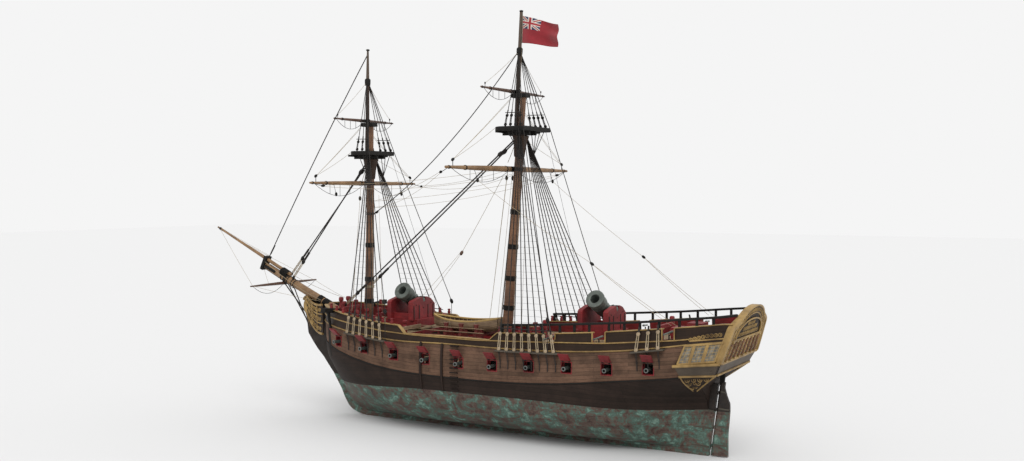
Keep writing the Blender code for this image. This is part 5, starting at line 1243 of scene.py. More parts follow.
scroll_paths = [(((0.05, 7.56), (-1.05, 7.86), (-1.95, 7.98)), 0.27, True),
                (((0.4, 5.1), (-1.1, 5.28)), 0.34, True), (((0.35, 4.85), (-0.5, 4.98)), 0.32, False),
                (((0.28, 4.55), (-0.1, 4.62)), 0.26, False)]
drops = []
for spots, size, both in scroll_paths:
    px, pz = along_path(np.array([(a, 0, b) for a, b in spots]), 20)[:, [0, 2]].T
    drops += scrollwork(on_side(px, pz, 0.15), side_out, size, 0.021, both=both)
for word, own_side in SIDES:
    build("quarter_gallery_bay_" + word, map(own_side, bay), [GILT, GROUND, GLASS, BAND],
          stands_for=["quarter_gallery_" + word])
    build("quarter_gallery_scrolls_" + word, map(own_side, drops), CARVED)

# Head: open carved cheeks between gilded rails that sweep from the bow up to a scroll in place of a
# figure, on the knee of the stem, with a cathead and its bracket over each bow.
def bowed(a, middle, b, t):
    """A quadratic curve from a to b drawn towards its middle point."""
    a, middle, b = (np.asarray(p, float) for p in (a, middle, b))
    t = np.asarray(t, float)[..., None]
    return a * (1 - t) ** 2 + middle * 2 * t * (1 - t) + b * t ** 2


def cheek(s, t, proud=0.0):
    """The cheek's surface between its lower and upper curves."""
    low = bowed((28.95, 1.38, 5.9), (30.6, 0.32, 5.75), (31.42, 0.17, 7.25), s)
    high = bowed((29.2, 1.15, 8.0), (30.4, 0.62, 7.75), (31.35, 0.24, 8.45), s)
    return low * (1 - t) + high * t + np.array((0.35, 1.0, 0.0)) * proud


s = np.linspace(0, 1, 24)
rows = [cheek(s, t, p) for t, p in ((0.0, 0.0), (0.25, 0.0), (0.5, 0.0), (0.75, 0.0), (1.0, 0.0),
                                    (1.0, 0.08), (0.5, 0.08), (0.0, 0.08))]
head_parts = [painted(net(closed_ends(np.stack(rows, 1)), ring=True), 1)]
for t, r in ((0.0, 0.085), (0.36, 0.05), (0.68, 0.05), (1.0, 0.085)):
    head_parts.append(carried(cheek(s, t, 0.1), circle(10), (0.35, 1.0, 0.0),
                              r * np.interp(s, (0, 1), (1.0, 0.8))))
for t, size in ((0.17, 0.34), (0.5, 0.34), (0.83, 0.32)):
    head_parts += scrollwork(cheek(s[2:-1], t, 0.1), (0.35, 1.0, 0.0), size, 0.024, both=True)
for q in (0.3, 0.62):
    head_parts.append(carried(cheek(np.full(6, q), np.linspace(0, 1, 6)[:, None], 0.11), circle(8),
                              (0.0, 1.0, 0.0), np.full(6, 0.045)))
cat_run, cat_side = np.array((-0.1, 1.0, 0.1)), np.array((1.0, 0.1, 0.0))
cat_axes = np.array([unit(cat_run), unit(cat_side), unit(np.cross(cat_run, cat_side))])
cats = [painted(blocks([(27.2, 2.75, 7.83)], (1.0, 0.16, 0.16), cat_axes), 2),
        painted(carried(bowed((27.15, 3.1, 7.95), (27.25, 2.95, 7.1), (27.3, 2.55, 6.3),
                              np.linspace(0, 1, 8)), circle(6), (1, 0, 0), np.linspace(0.14, 0.08, 8)), 2)]
figure = carried(bowed((31.05, 0, 7.1), (31.95, 0, 7.45), (31.62, 0, 8.1), np.linspace(0, 1, 12)),
                 circle(14), (0, 1, 0), np.linspace(0.30, 0.2, 12))
volute = []
for side in (1, -1):
    a = np.linspace(0, 4.6 * np.pi, 36)
    r = 0.34 * np.exp(-0.15 * a)
    curl = np.stack([31.55 + np.cos(a) * r, 0 * a + side * (0.05 + 0.012 * a), 8.15 + np.sin(a) * r], -1)
    volute.append(carried(curl, circle(8), (0, 1, 0), np.linspace(0.11, 0.05, 36)))
knee = bowed((31.66, 0, 7.5), (31.2, 0, 5.6), (30.45, 0, 4.7), np.linspace(0, 1, 16))
build("head_cheeks", [*pair(*head_parts), figure, *volute,
                      carried(knee, circle(8), (0, 1, 0), np.linspace(0.17, 0.1, 16))],
      [CARVED, GROUND, BLACK], stands_for=["head_carving"])
build("catheads", pair(*cats), [CARVED, GROUND, BLACK], bevel=0.012)


# Mortars: two cast iron guns, ringed round the muzzle and stepped down to a smaller chamber, on
# trunnions in red-painted oak beds that turn on round pads let into the decks.
GUN_IRON = planks("cast_iron_oiled_grey", ("#737a73", "#666d66", "#4c524d"), "#2b302c", 900, 1500,
                  rough=0.5, grain=0.4, stain=0.6, gap=0.0, metal=0.35)
MORTAR_AIM = math.radians(31)
pads = []
for word, x, low, pin_z, pad in (("fore", 22.2, float(rail_z(23.8)) + 0.35, 8.65, 1.55),
                                 ("aft", 7.3, float(rail_z(5.7)) + 0.35, 8.75, 1.6)):
    pin = np.array((x, -0.1, pin_z))
    run = np.array((0.0, math.cos(MORTAR_AIM), math.sin(MORTAR_AIM)))
    table = [(-0.62, 0.0), (-0.62, 0.12), (-0.6, 0.2), (-0.55, 0.33), (-0.46, 0.42), (-0.3, 0.475),
             (-0.1, 0.49), (-0.08, 0.505), (-0.02, 0.505), (0.0, 0.49), (0.38, 0.49), (0.42, 0.51),
             (0.5, 0.545), (0.56, 0.56), (0.66, 0.56), (0.67, 0.575), (0.73, 0.575), (0.74, 0.56),
             (0.98, 0.56), (0.99, 0.575), (1.05, 0.575), (1.06, 0.56), (1.16, 0.56), (1.19, 0.61),
             (1.24, 0.625), (1.34, 0.625), (1.39, 0.60), (1.41, 0.52), (1.40, 0.36), (1.38, 0.31),
             (1.3, 0.3), (0.5, 0.3), (0.42, 0.22), (0.4, 0.0)]
    barrel = turned(pin, run, table, 40)
    arms = turned(pin - (1.06, 0, 0), (1, 0, 0), ((0, 0), (0, 0.13), (0.03, 0.15), (2.09, 0.15),
                                                  (2.12, 0.13), (2.12, 0)), 20)
    lift_eye = hoop(pin + run * 0.85 + np.array((0, -run[2], run[1])) * 0.6, (1, 0, 0), 0.1, 0.035, 12)
    # A near-black disc of painted shade down the bore stands for its dark depth.
    dark = painted(turned(pin + run * 0.52, run, ((0, 0), (0, 0.296), (0.01, 0.296), (0.01, 0))), 1)
    build("mortar_casting_" + word, [barrel, arms, lift_eye, dark], [GUN_IRON, PAINTED_SHADE],
          body="mortar_" + word, stands_for=["mortar_" + word])
    cheek = np.array([(-1.45, low + 0.5), (1.4, low + 0.5), (1.4, pin_z - 0.12), (1.25, pin_z),
                      (0.6, pin_z + 0.13), (0.3, pin_z + 0.2), (0.1, pin_z + 0.2), (0.08, pin_z + 0.02),
                      (-0.05, pin_z - 0.15), (-0.15, pin_z - 0.15), (-0.28, pin_z + 0.02),
                      (-0.3, pin_z + 0.2), (-0.5, pin_z + 0.2), (-0.95, pin_z + 0.05),
                      (-1.45, pin_z - 0.35)])
    cheeks = []
    for s in (1, -1):
        ring = [np.stack([np.full(len(cheek), x + s * px), cheek[:, 0], cheek[:, 1]], -1)
                for px in (0.73, 0.9, 1.07)]
        hubs = [np.full(ring[0].shape, (x + s * px, -0.1, low + 0.6)) for px in (0.73, 1.07)]
        cheeks.append(net(np.stack([hubs[0], *ring, hubs[1]]), ring=True))
    base = blocks([(x, y, low + 0.28) for y in (-0.9, -0.3, 0.3, 0.9)], (1.35, 0.295, 0.265))
    cross = blocks([(x, 1.0, low + 0.75), (x, -1.25, low + 0.72), (x, 0.75, low + 0.62)],
                   [(0.72, 0.14, 0.2), (0.72, 0.12, 0.2), (0.72, 0.3, 0.08)])
    iron = [painted(carried([(x + s * 0.66, y, pin_z + z)
                             for y, z in ((-0.36, 0.22), (-0.1, 0.2), (0.16, 0.22))], bar(0.05, 0.02)),
                    1) for s in (1, -1)]
    iron += [painted(blocks([(x + s * 1.085, y, low + 1.0)], (0.012, 0.04, 0.5)), 1) for s in (1, -1)
             for y in (-1.2, -0.55, 0.55, 1.2)]
    bolts = [painted(turned((x + s * 1.07, y, z), (s, 0, 0),
                            ((0, 0), (0, 0.045), (0.03, 0.035), (0.04, 0)), 8), 1) for s in (1, -1)
             for y, z in ((-1.2, low + 0.7), (-0.55, low + 0.7), (0.55, low + 0.7), (1.2, low + 0.7),
                          (0.9, pin_z - 0.3), (-0.95, pin_z - 0.25), (0.0, pin_z - 0.55))]
    caps = [painted(blocks([(x + s * 0.9, -0.1, pin_z + 0.19)], (0.1, 0.24, 0.025)), 1) for s in (1, -1)]
    build("mortar_carriage_" + word, [*cheeks, base, cross, *iron, *bolts, *caps], [RED, IRON_BLACK],
          body="mortar_%s_bed" % word, stands_for=["mortar_%s_bed" % word], bevel=0.02)
    pads.append(turned((x, 0, low - 0.13), UP, ((0, 0), (0, pad), (0.08, pad), (0.1, pad - 0.02),
                                                (0.1, pad - 0.14), (0.125, pad - 0.16), (0.125, 0)), 48))
pads.append(turned(axis_at(MASTS["fore"], 6.8), (0, 0, 1), ((0, 0), (0, 0.55), (0.13, 0.55), (0.16, 0.5),
                                                            (0.16, 0)), 32))
pads.append(turned((14.5, 0, 4.7), (-0.0792, 0, 1), ((0, 0), (0, 0.6), (0.13, 0.6), (0.16, 0.5),
                                                     (0.16, 0)), 32))
build("deck_pads", pads, DECK, sharp=30)

# Boat: a clinker-built yawl of pale fir, its strakes lapped and riveted to bent ribs, stowed upright
# on red-brown skid beams over the waist, between their posts.
FIR = planks("bare_fir_boat", ("#9d8467", "#8c7459", "#6d5944"), "#4a3a2b", 260, 4000, rough=0.65,
             grain=0.5, stain=0.45)
LINING = planks("oiled_boat_lining", ("#4f3a2a", "#443225", "#30241b"), "#1e1611", 260, 4000,
                grain=0.5, stain=0.5, shine=0.3)
GUNWALE = planks("varnished_ash_gunwale", ("#c3a263", "#b39458", "#8a6e42"), "#6a5433", 900, 6000,
                 rough=0.5, grain=0.4, gap=0.0)
SKID = planks("worn_red_brown_post", ("#7a2f27", "#6b2a23", "#4d1d18"), "#35130f", 400, 3000,
              rough=0.65, grain=0.4, stain=0.5)


def boat_section(t, a, shrink=0.0):
    """Boat's skin at length t (0 aft, 1 forward) and girth a (-1 to 1, the keel at 0)."""
    t, a = np.broadcast_arrays(t, a)
    narrow = np.where(t < 0.46, np.abs(2 * t - 0.92) ** 2.6 * 0.62,
                      np.clip((t - 0.46) / 0.54, 0, 1) ** 2.4 * 0.93)
    width = 0.95 * (1 - narrow) - shrink
    sheer = 7.43 + 0.27 * (2 * t - 1) ** 2
    rise = 0.3 * np.clip((t - 0.87) / 0.13, 0, 1) ** 2 + 0.2 * np.clip((0.15 - t) / 0.15, 0, 1) ** 2
    floor = 6.7512 + rise + shrink
    s, c = np.abs(np.sin(a * np.pi / 2)), np.abs(np.cos(a * np.pi / 2))
    return np.stack([14.85 + 5.35 * t, width * np.sign(a) * s ** 0.8,
                     floor + (sheer - floor) * (1 - c ** 0.7)], -1)


t = np.linspace(0, 1, 40)[:, None]
lands, strakes = np.linspace(0.12, 1.0, 9), []
for side in (1.0, -1.0):
    for low, high in zip(lands[:-1], lands[1:]):
        a = np.array((low - 0.015, low - 0.015, high, high))[None] * side
        lap = boat_section(t, a)
        push = np.array((0.02, -0.012, -0.03, -0.005))[None, :, None] * np.array((0, side, -0.6))
        strakes.append(net(lap + push * (1 - 0.7 * t[..., None]), ring=True))
bottom_shell = net(boat_section(t, np.linspace(-0.16, 0.16, 7)[None]))
shell = net(boat_section(t, np.linspace(-1, 1, 33)[None], 0.035))
section = [(-0.055, -0.05), (-0.055, 0.03), (-0.03, 0.045), (0.03, 0.045), (0.055, 0.03), (0.055, -0.05)]
gunwales = [painted(carried(boat_section(t[:, 0], s) + (0, -s * 0.03, 0.0), section), 2)
            for s in (1.0, -1.0)]
ribs = [carried(boat_section(q, np.linspace(-0.97, 0.97, 17), 0.05), circle(5, 0.022), (1, 0, 0))
        for q in np.linspace(0.08, 0.88, 15)]
thwarts = []
for q, drop_to in ((0.14, 0.2), (0.32, 0.24), (0.5, 0.26), (0.66, 0.24), (0.82, 0.2)):
    edge = boat_section(q, 0.93)
    thwarts.append(painted(blocks([(edge[0], 0, edge[2] - drop_to * 0.3)],
                                  (0.13, abs(edge[1]) - 0.05, 0.025)), 2))
floorboards = painted(blocks([(17.3, y, 6.88) for y in (-0.28, -0.09, 0.09, 0.28)], (1.9, 0.08, 0.012)), 1)
stem_post = carried(bowed((19.9, 0, 6.86), (20.2, 0, 6.95), (20.22, 0, 7.82), np.linspace(0, 1, 10)),
                    circle(6, 0.05), (0, 1, 0))
tail_board = blocks([(14.86, 0, 7.35)], (0.025, 0.34, 0.32))
oars = [ropes([(15.6, y, 7.2)], [(19.0, y * 0.7, 7.32)], 0.03, steps=4, sides=6) for y in (0.2, 0.3, -0.24)]
build("clinker_yawl", [*strakes, bottom_shell, painted(shell, 1), *gunwales, *ribs, *thwarts,
                       floorboards, stem_post, tail_board, *oars], [FIR, LINING, GUNWALE],
      stands_for=["boat"])
SKID_X = (16.0, 17.2, 18.4)
beams = blocks([(x, 0, 6.61) for x in SKID_X], (0.13, 1.5, 0.14))
long_beams = blocks([(17.75, y, 6.37) for y in (1.3, -1.3)], (2.15, 0.12, 0.12))
posts = blocks([(x, y, 6.0) for x in SKID_X for y in (-1.3, 1.3)], (0.11, 0.11, 1.25))
heads = blocks([(x, y, 7.28) for x in SKID_X for y in (-1.3, 1.3)], (0.14, 0.14, 0.035))
chocks = blocks([(x, y, 6.83) for x in SKID_X for y in (-0.62, 0.62)], (0.09, 0.1, 0.09))
gripes = [painted(bunch(boat_section(q, np.linspace(-1, 1, 15)) * (1, 1.03, 1) - (0, 0, 0.03), 0.02), 1)
          for q in (0.28, 0.66)]
build("skid_beams", [beams, long_beams, posts, heads, chocks, *gripes], [SKID, HEMP],
      stands_for=["boat_skids"], bevel=0.015)

# Deck furniture: red-painted bitts, knightheads, kevels and timberheads for making lines fast, swivel
# guns, gratings over the hatches, and the guns' carriages in the open waist.
def post_with_head(x, y, foot, tall, half=0.12):
    """A square bitt with a chamfered head and a narrow neck below it."""
    steps = [(0.0, 1.0), (tall * 0.62, 1.0), (tall * 0.66, 0.72), (tall * 0.78, 0.72),
             (tall * 0.82, 1.08), (tall * 0.96, 1.08), (tall, 0.8)]
    path = np.array([(x, y, foot + h) for h, _ in steps])
    return carried(path, bar(half, half), (0.0, 1.0, 0.0), [s for _, s in steps], UP)


deck_at = lambda x: float(rail_z(x)) + 0.25
bitts = []
for x, y, tall in ((24.4, 0.75, 1.3), (27.6, 0.7, 1.3), (24.95, 1.5, 1.25), (25.5, 2.0, 1.1),
                   (28.1, 0.42, 1.5), (11.8, 0.7, 1.2), (21.0, 2.5, 1.0), (2.9, 1.1, 1.35)):
    bitts += [post_with_head(x, s * y, deck_at(x) - 0.05, tall) for s in (1, -1)]
bitts.append(blocks([(24.4, 0, deck_at(24.4) + 0.75), (27.6, 0, deck_at(27.6) + 0.72),
                     (11.8, 0, deck_at(11.8) + 0.7), (2.9, 0, deck_at(2.9) + 0.8)],
                    [(0.11, 1.1, 0.12), (0.11, 1.05, 0.12), (0.1, 1.0, 0.11), (0.1, 1.35, 0.12)]))
for x in np.concatenate([np.arange(21.3, 28.3, 0.78), np.arange(9.9, 12.8, 0.72)]):
    y = float(hull_half(x, cap_z(x))) - 0.09
    for s in (1, -1):
        bitts.append(post_with_head(x, s * y, float(cap_z(x)) - 0.02, 0.42, 0.085))
for x in np.arange(22.2, 27.6, 1.3):
    y = float(hull_half(x, cap_z(x))) - 0.32
    bitts.append(blocks([(x, s * y, float(cap_z(x)) - 0.28) for s in (1, -1)], (0.42, 0.07, 0.09)))
bitts.append(blocks([(1.3, s * 1.4, deck_at(1.3) + 0.35) for s in (1, -1)], (0.5, 0.6, 0.36)))
bitts.append(blocks([(23.3, s * 2.55, deck_at(23.3) + 0.2) for s in (1, -1)], (0.55, 0.35, 0.2)))
build("red_bitts_and_timberheads", bitts, RED, bevel=0.015)
stocks, swivels = [], []
for a, b in EMBRASURES:
    x = (a + b) / 2
    z = float(rail_z(x)) + 0.45
    y = float(hull_half(x, z)) - 0.08
    for s in (1, -1):
        muzzle = np.array((x + 0.12, s * (y + 0.62), z + 0.32))
        tail_end = np.array((x - 0.05, s * (y - 0.55), z + 0.42))
        stocks.append(ropes([(x, s * y, z - 0.1)], [(x, s * y, z + 0.28)], 0.045, steps=3, sides=8))
        run = unit(muzzle - tail_end)
        swivels.append(turned(tail_end, run, ((0, 0), (0.02, 0.04), (0.06, 0.025), (0.1, 0.07),
                                              (0.3, 0.075), (0.32, 0.06), (0.8, 0.05), (1.0, 0.045),
                                              (1.05, 0.06), (1.12, 0.06), (1.13, 0.03), (0.9, 0.028),
                                              (0.9, 0)), 12))
build("swivel_guns", [*stocks, *[painted(g, 1) for g in swivels]], [IRON_BLACK, GUN_IRON])
grating, coaming = [], []
BAR_STEP = 0.13
for x, z, half_x, half_y in ((18.9, 4.76, 0.75, 0.8), (10.3, deck_at(10.3) + 0.03, 0.7, 0.8),
                             (4.7, deck_at(4.7) + 0.03, 0.7, 0.7)):
    middles = [(x + half_x, 0, z + 0.08), (x - half_x, 0, z + 0.08), (x, half_y, z + 0.08),
               (x, -half_y, z + 0.08)]
    coaming.append(painted(blocks(middles, [(0.07, half_y + 0.07, 0.14)] * 2
                                  + [(half_x, 0.07, 0.14)] * 2), 1))
    at_x, at_y = (np.arange(-half + BAR_STEP, half - 0.05, BAR_STEP) for half in (half_x, half_y))
    grating.append(blocks([(x + d, 0, z + 0.17) for d in at_x], (0.035, half_y, 0.03)))
    grating.append(blocks([(x, d, z + 0.16) for d in at_y], (half_x, 0.035, 0.025)))
build("hatch_gratings", [*grating, *coaming], [FIR, RED], bevel=0.006)
carriages = []
for i in WAIST_PORTS:
    for s in (1.0, -1.0):
        centre = np.array((PORT_X[i], s * 2.9, 0.0))
        carriages.append(blocks([centre + (d, 0, 4.98) for d in (-0.2, 0.2)], (0.06, 0.7, 0.13)))
        carriages.append(blocks([centre + (d, -s * 0.35, 5.13) for d in (-0.2, 0.2)], (0.06, 0.3, 0.07)))
        carriages.append(blocks([centre + (0, 0, 4.93)], (0.26, 0.6, 0.04)))
        carriages += [turned(centre + (d - 0.05, y, 4.86), (1, 0, 0), disc(0.12, 0.1), 14)
                      for d in (-0.34, 0.34) for y in (-0.45, 0.45)]
build("waist_gun_carriages", carriages, RED, bevel=0.01)

# Side fittings: fender timbers and a ladder of battens amidships, a black strap down each bow, and
# the guard rails of the waist.
fenders = []
for x in (16.95, 18.62):
    for s in (1, -1):
        zs = np.linspace(3.15, 6.3, 14)
        fenders.append(carried(np.stack([0 * zs + x, s * (hull_half(x, zs) + 0.07), zs], -1),
                               bar(0.07, 0.07), (1, 0, 0)))
for z in np.linspace(3.3, 6.2, 11):
    for s in (1, -1):
        fenders.append(blocks([(16.0, s * (float(hull_half(16.0, z)) + 0.07), z)], (0.3, 0.07, 0.035)))
build("fenders_and_steps", fenders, WALE, bevel=0.01)
strap_z = np.linspace(4.6, 6.6, 10)
straps = []
for s in (1, -1):
    xs = 27.15 + 0.35 * (strap_z - 4.6) / 2.0
    straps.append(carried(np.stack([xs, s * (hull_half(xs, strap_z) + 0.035), strap_z], -1),
                          bar(0.03, 0.09), (1, 0, 0)))
build("bow_straps", straps, IRON_BLACK)
rail_lines = []
for s in (1.0, -1.0):
    for height, radius in ((0.02, 0.035), (0.30, 0.03)):
        xs = np.linspace(15.3, 20.3, 8)
        rail_lines.append(carried(np.stack([xs, 0 * xs + s * 1.52, 6.75 + height + 0 * xs], -1),
                                  circle(6, radius)))
    rail_lines.append(blocks([(20.5, s * 2.4, 7.0)], (0.05, 1.1, 0.12)))
build("waist_guard_rails", rail_lines, FIR, bevel=0.006)


# Channels: broad planks edged out from the sides with a row of turned elm deadeyes chained to the
# hull below. Lanyards rove between each pair set up the shrouds, which carry ratlines for climbing.
GREY_OAK = planks("greyed_oak_plank", ("#5a5248", "#50493f", "#3d372f"), "#2a251f", 300, 4000, shine=0.3)
RATLINE_STEP, RATLINE_THICK = 0.39, 0.0055
LANYARD = planks("tanned_hemp_lanyard", ("#b8a78b", "#a69578", "#7f715b"), "#6a5c47", 60, 140,
                 rough=0.85, grain=0.3, gap=0.0)
ELM = planks("turned_elm_deadeye", ("#aa967a", "#978369", "#6c5c49"), "#4c3b30", 900, 900, grain=0.4,
             gap=0.0)
CHANNELS = ((21.5, 25.3, 6, "fore"), (8.3, 12.8, 8, "main"), (1.5, 3.55, 3, ""))


def deadeye(middle, axis, radius=0.13, thick=0.11):
    """A round block with rounded edges lying across an axis, and the strop round its groove."""
    edge = ((0, 0), (0, 0.6), (0.16, 0.92), (0.38, 1.0), (0.62, 1.0), (0.84, 0.92), (1.0, 0.6), (1.0, 0))
    middle = np.asarray(middle, float)
    return [turned(middle - axis * thick / 2, axis, [(a * thick, b * radius) for a, b in edge], 12),
            painted(hoop(middle, axis, radius, 0.024, 12), 1)]


shrouds = {}
for x0, x1, count, which in CHANNELS:
    for word, side in (("port", 1.0), ("starboard", -1.0)):
        xs = np.linspace(x0, x1, 24)
        z = rail_z(xs) - 0.06
        y = hull_half(xs, z - 0.05)
        section = np.array([(-0.06, -0.1), (0.36, -0.1), (0.42, -0.08), (0.42, -0.02), (0.36, 0.0),
                            (-0.06, 0.0)])
        rings = np.stack([np.stack([xs, side * (y + a), z + b], -1) for a, b in section], 1)
        parts = [painted(net(closed_ends(rings), ring=True), 2)]
        lines, lanyards, feet, heads = [], [], [], []
        for k in range(count):
            x = x0 + (x1 - x0) * (k + 0.5) / count
            z1 = float(rail_z(x)) - 0.06
            y0 = float(hull_half(x, z1 - 0.05))
            base = np.array((x, side * (y0 + 0.32), z1 - 0.06))
            head = np.array((3.2, side * 0.3, 17.0))
            if which:
                m = MASTS[which]
                head = axis_at(m, m["top"] + 0.06 * k, 0.0, side * 0.27)
            run = unit(head - base)
            along = unit(np.cross(run, (0.0, 1.0, 0.0)))
            out = np.cross(along, run)
            low_eye, high_eye = base + run * 0.14, base + run * 1.13
            parts += deadeye(low_eye, out) + deadeye(high_eye, out)
            for a in (-0.09, -0.055, 0.055, 0.09):
                lanyards.append((low_eye + along * a + out * 0.03, high_eye + along * a * 0.8 + out * 0.03))
            sill, bolt = (np.array((x - 0.1 * run[0] / run[2], side * (float(hull_half(x, z)) + 0.05), z))
                          for z in (z1 - 0.75, z1 - 1.2))
            for dx in (-0.035, 0.035):
                lines.append((base + (dx, 0, 0.02), sill + (dx, 0, 0), 0.022))
            lines.append((sill + (0, 0, 0.06), bolt, 0.034))
            if which:
                lines.append((high_eye + run * 0.1, head, 0.036))
                lines.append((high_eye + run * 0.13, high_eye + run * 0.62, 0.062))
                feet.append(high_eye)
                heads.append(head)
            else:
                lines.append((high_eye + run * 0.1, high_eye + run * 0.45, 0.06))
        parts.append(painted(strands(lines, steps=3, sides=6), 1))
        parts.append(painted(strands(lanyards, 0.015, steps=2, sides=4), 3))
        if which:
            feet, heads = np.array(feet), np.array(heads)
            shrouds[which, word] = feet, heads
            stave = feet + unit(heads - feet) * 0.36 + (0, side * 0.06, 0)
            parts.append(painted(bunch(np.concatenate([stave[:1] - (0.2, 0, 0), stave,
                                                       stave[-1:] + (0.2, 0, 0)]), 0.032), 1))
            height = heads[:, 2] - feet[:, 2]
            for z in np.arange(feet[:, 2].max() + 0.75, MASTS[which]["top"] - 2.2, RATLINE_STEP):
                t = ((z - feet[:, 2]) / height)[:, None]
                parts.append(painted(bunch(feet * (1 - t) + heads * t + (0, side * 0.035, 0),
                                           RATLINE_THICK, 4), 1))
        name = (which or "mizzen") + "_channel_" + word
        build(name, parts, [ELM, ROPE, GREY_OAK, LANYARD])

# Topmast shrouds stand on the rims of the tops, where futtock shrouds hold their deadeyes down to a
# stave seized across the lower shrouds.
for which, count, tall in (("fore", 3, 0.78), ("main", 4, 0.85)):
    m = MASTS[which]
    x, half, top = float(axis_at(m, m["top"])[0]), m["platform"], m["top"]
    for word, side in (("port", 1.0), ("starboard", -1.0)):
        feet, heads = shrouds[which, word]
        t = ((top - 2.05 - feet[:, 2]) / (heads[:, 2] - feet[:, 2]))[:, None]
        stave = feet * (1 - t) + heads * t
        stave_a, stave_b = stave[0] + (0.12, side * 0.05, 0), stave[-1] + (-0.12, side * 0.05, 0)
        parts, lines, lanyards, uppers = [], [(stave_a, stave_b, 0.035)], [], []
        for k in range(count):
            rim = np.array((x + half * (0.12 - 0.62 * k / (count - 1)), side * half * 0.955, top + 0.04))
            head = upper_at(m, m["head"] - 0.32 + 0.03 * k, 0.0, side * 0.12)
            run = unit(head - rim)
            along = unit(np.cross(run, (0.0, 1.0, 0.0)))
            out = np.cross(along, run)
            low_eye, high_eye = rim + run * 0.12, rim + run * (tall - 0.1)
            parts += deadeye(low_eye, out, 0.095, 0.08) + deadeye(high_eye, out, 0.095, 0.08)
            for a in (-0.06, -0.02, 0.02, 0.06):
                lanyards.append((low_eye + along * a + out * 0.02, high_eye + along * a * 0.8 + out * 0.02))
            lines.append((high_eye, head, 0.026))
            lines.append((high_eye + run * 0.05, high_eye + run * 0.4, 0.045))
            lines.append((rim + (0, 0, 0.06),
                          stave_a + (stave_b - stave_a) * (0.15 + 0.7 * k / (count - 1)), 0.028))
            uppers.append((high_eye, head))
        upper_stave = [p + unit(q - p) * 0.2 + (0, side * 0.04, 0) for p, q in uppers]
        lines.append((upper_stave[0] + (0.15, 0, 0), upper_stave[-1] - (0.15, 0, 0), 0.028))
        back = np.array((x - half * 0.62, side * half * 1.005, top + 0.1))
        chan = CHANNELS[0 if which == "fore" else 1]
        foot_x = chan[0] - (0.05 if which == "fore" else -0.75)
        foot = np.array((foot_x, side * (float(hull_half(foot_x, 6.3)) + 0.26), float(cap_z(foot_x)) + 0.9))
        head = upper_at(m, m["head"] - 0.2, 0.0, side * 0.12)
        lines += [(head, back, 0.028), (back, foot, 0.028),
                  (foot, foot * (1, 1, 0) + (0, 0, float(rail_z(foot_x))), 0.022)]
        lines += [(head + (0, 0, -0.1), back + (0.35, -side * 0.02, 0), 0.012),
                  (back + (0.35, -side * 0.02, 0), foot + (1.3, 0, -0.4), 0.012)]
        parts.append(painted(block_at(foot, head - foot, 0.2), 2))
        parts.append(painted(strands(lines, steps=3, sides=6), 1))
        parts.append(painted(strands(lanyards, 0.016, steps=2, sides=4), 1))
        build(which + "_topmast_shrouds_" + word, parts, [BLACK, ROPE, BLACK])

# Stays: thick tarred ropes from collars under the tops, set up with lashings between wooden hearts
# on the bowsprit, the bitts and the foremast.
def heart(point, toward, size=0.24):
    """A heart: a flattened pear of wood with a hole, its broad end towards its rope."""
    ring = circle(12) * (1.0, 0.45)
    far = size * np.array((0.0, 0.0, 0.15, 0.5, 0.9, 1.3, 1.5, 1.5))
    radii = size * np.array((0.0, 0.3, 0.5, 0.62, 0.6, 0.42, 0.22, 0.0))
    axis = unit(np.asarray(toward, float))
    return carried(np.asarray(point, float) + far[:, None] * axis, ring, (0.0, 1.0, 0.0), radii, axis)


def set_up(top, foot, radius, gap, size=0.24):
    """A stay from top to foot: rope, its heart, five turns of lashing and the lower heart."""
    top, foot = np.asarray(top, float), np.asarray(foot, float)
    run = unit(foot - top)
    upper, lower = foot - run * (gap + 1.5 * size), foot - run * 1.2 * size
    side = unit(np.cross(run, (0.0, 1.0, 0.0)))
    turns = [(upper + run * 1.1 * size + side * a, lower + side * a)
             for a in (-0.08, -0.04, 0.0, 0.04, 0.08)]
    return [ropes([top, upper - run * 0.75], [upper, upper + run * 0.1], [radius, radius * 1.7],
                  steps=6, sides=8), painted(heart(upper, run, size), 1),
            painted(strands(turns, 0.016, steps=2, sides=4), 2), painted(heart(lower, run, size * 0.8), 1)]


fore, main = MASTS["fore"], MASTS["main"]
for m, ends in ((fore, ((0.13, on_sprit(0.63, 0.3, 0.2), 1.5), (-0.13, on_sprit(0.70, 0.28, -0.2), 1.6))),
                (main, ((0.15, np.array((27.6, 0.7, 7.95)), 1.35),
                        (-0.15, np.array((25.85, -0.1, 9.4)), 1.0)))):
    z = m["top"] - 0.66
    low = m is fore
    line = [hoop(axis_at(m, z + d), (m["rake"], 0, 1), float(low_radius(m, z)) + 0.05, 0.05)
            for d in (-0.05, 0.05)]
    for y, end, gap in ends:
        start = axis_at(m, z, math.sqrt((float(low_radius(m, z)) + 0.05) ** 2 - y * y), y)
        line += set_up(start, end, 0.047 if low else 0.052, gap)
        mouse = start + (np.asarray(end, float) - start) * 0.09
        line.append(turned(mouse - unit(np.asarray(end) - start) * 0.28, np.asarray(end) - start,
                           ((0, 0.05), (0.12, 0.11), (0.3, 0.13), (0.5, 0.05)), 10))
    if not low:
        axis = (fore["rake"], 0, 1)
        line += [painted(hoop(axis_at(fore, 9.4 + d), axis, float(low_radius(fore, 9.4)) + 0.03, 0.03), 2)
                 for d in (-0.06, 0.0, 0.06)]
    build("fore_stay_ropes" if low else "main_stay_ropes", line, [ROPE, BLACK, HEMP],
          stands_for=["fore_stays" if low else "main_stays"])
cap_top = SPRIT_END + lift * 0.72 + sprit * -0.12
pole = upper_at(fore, 26.2)
bob_feet = [np.array((x, 0.0, z)) for x, z in ((31.5, 6.95), (31.35, 6.2), (30.9, 5.1))]
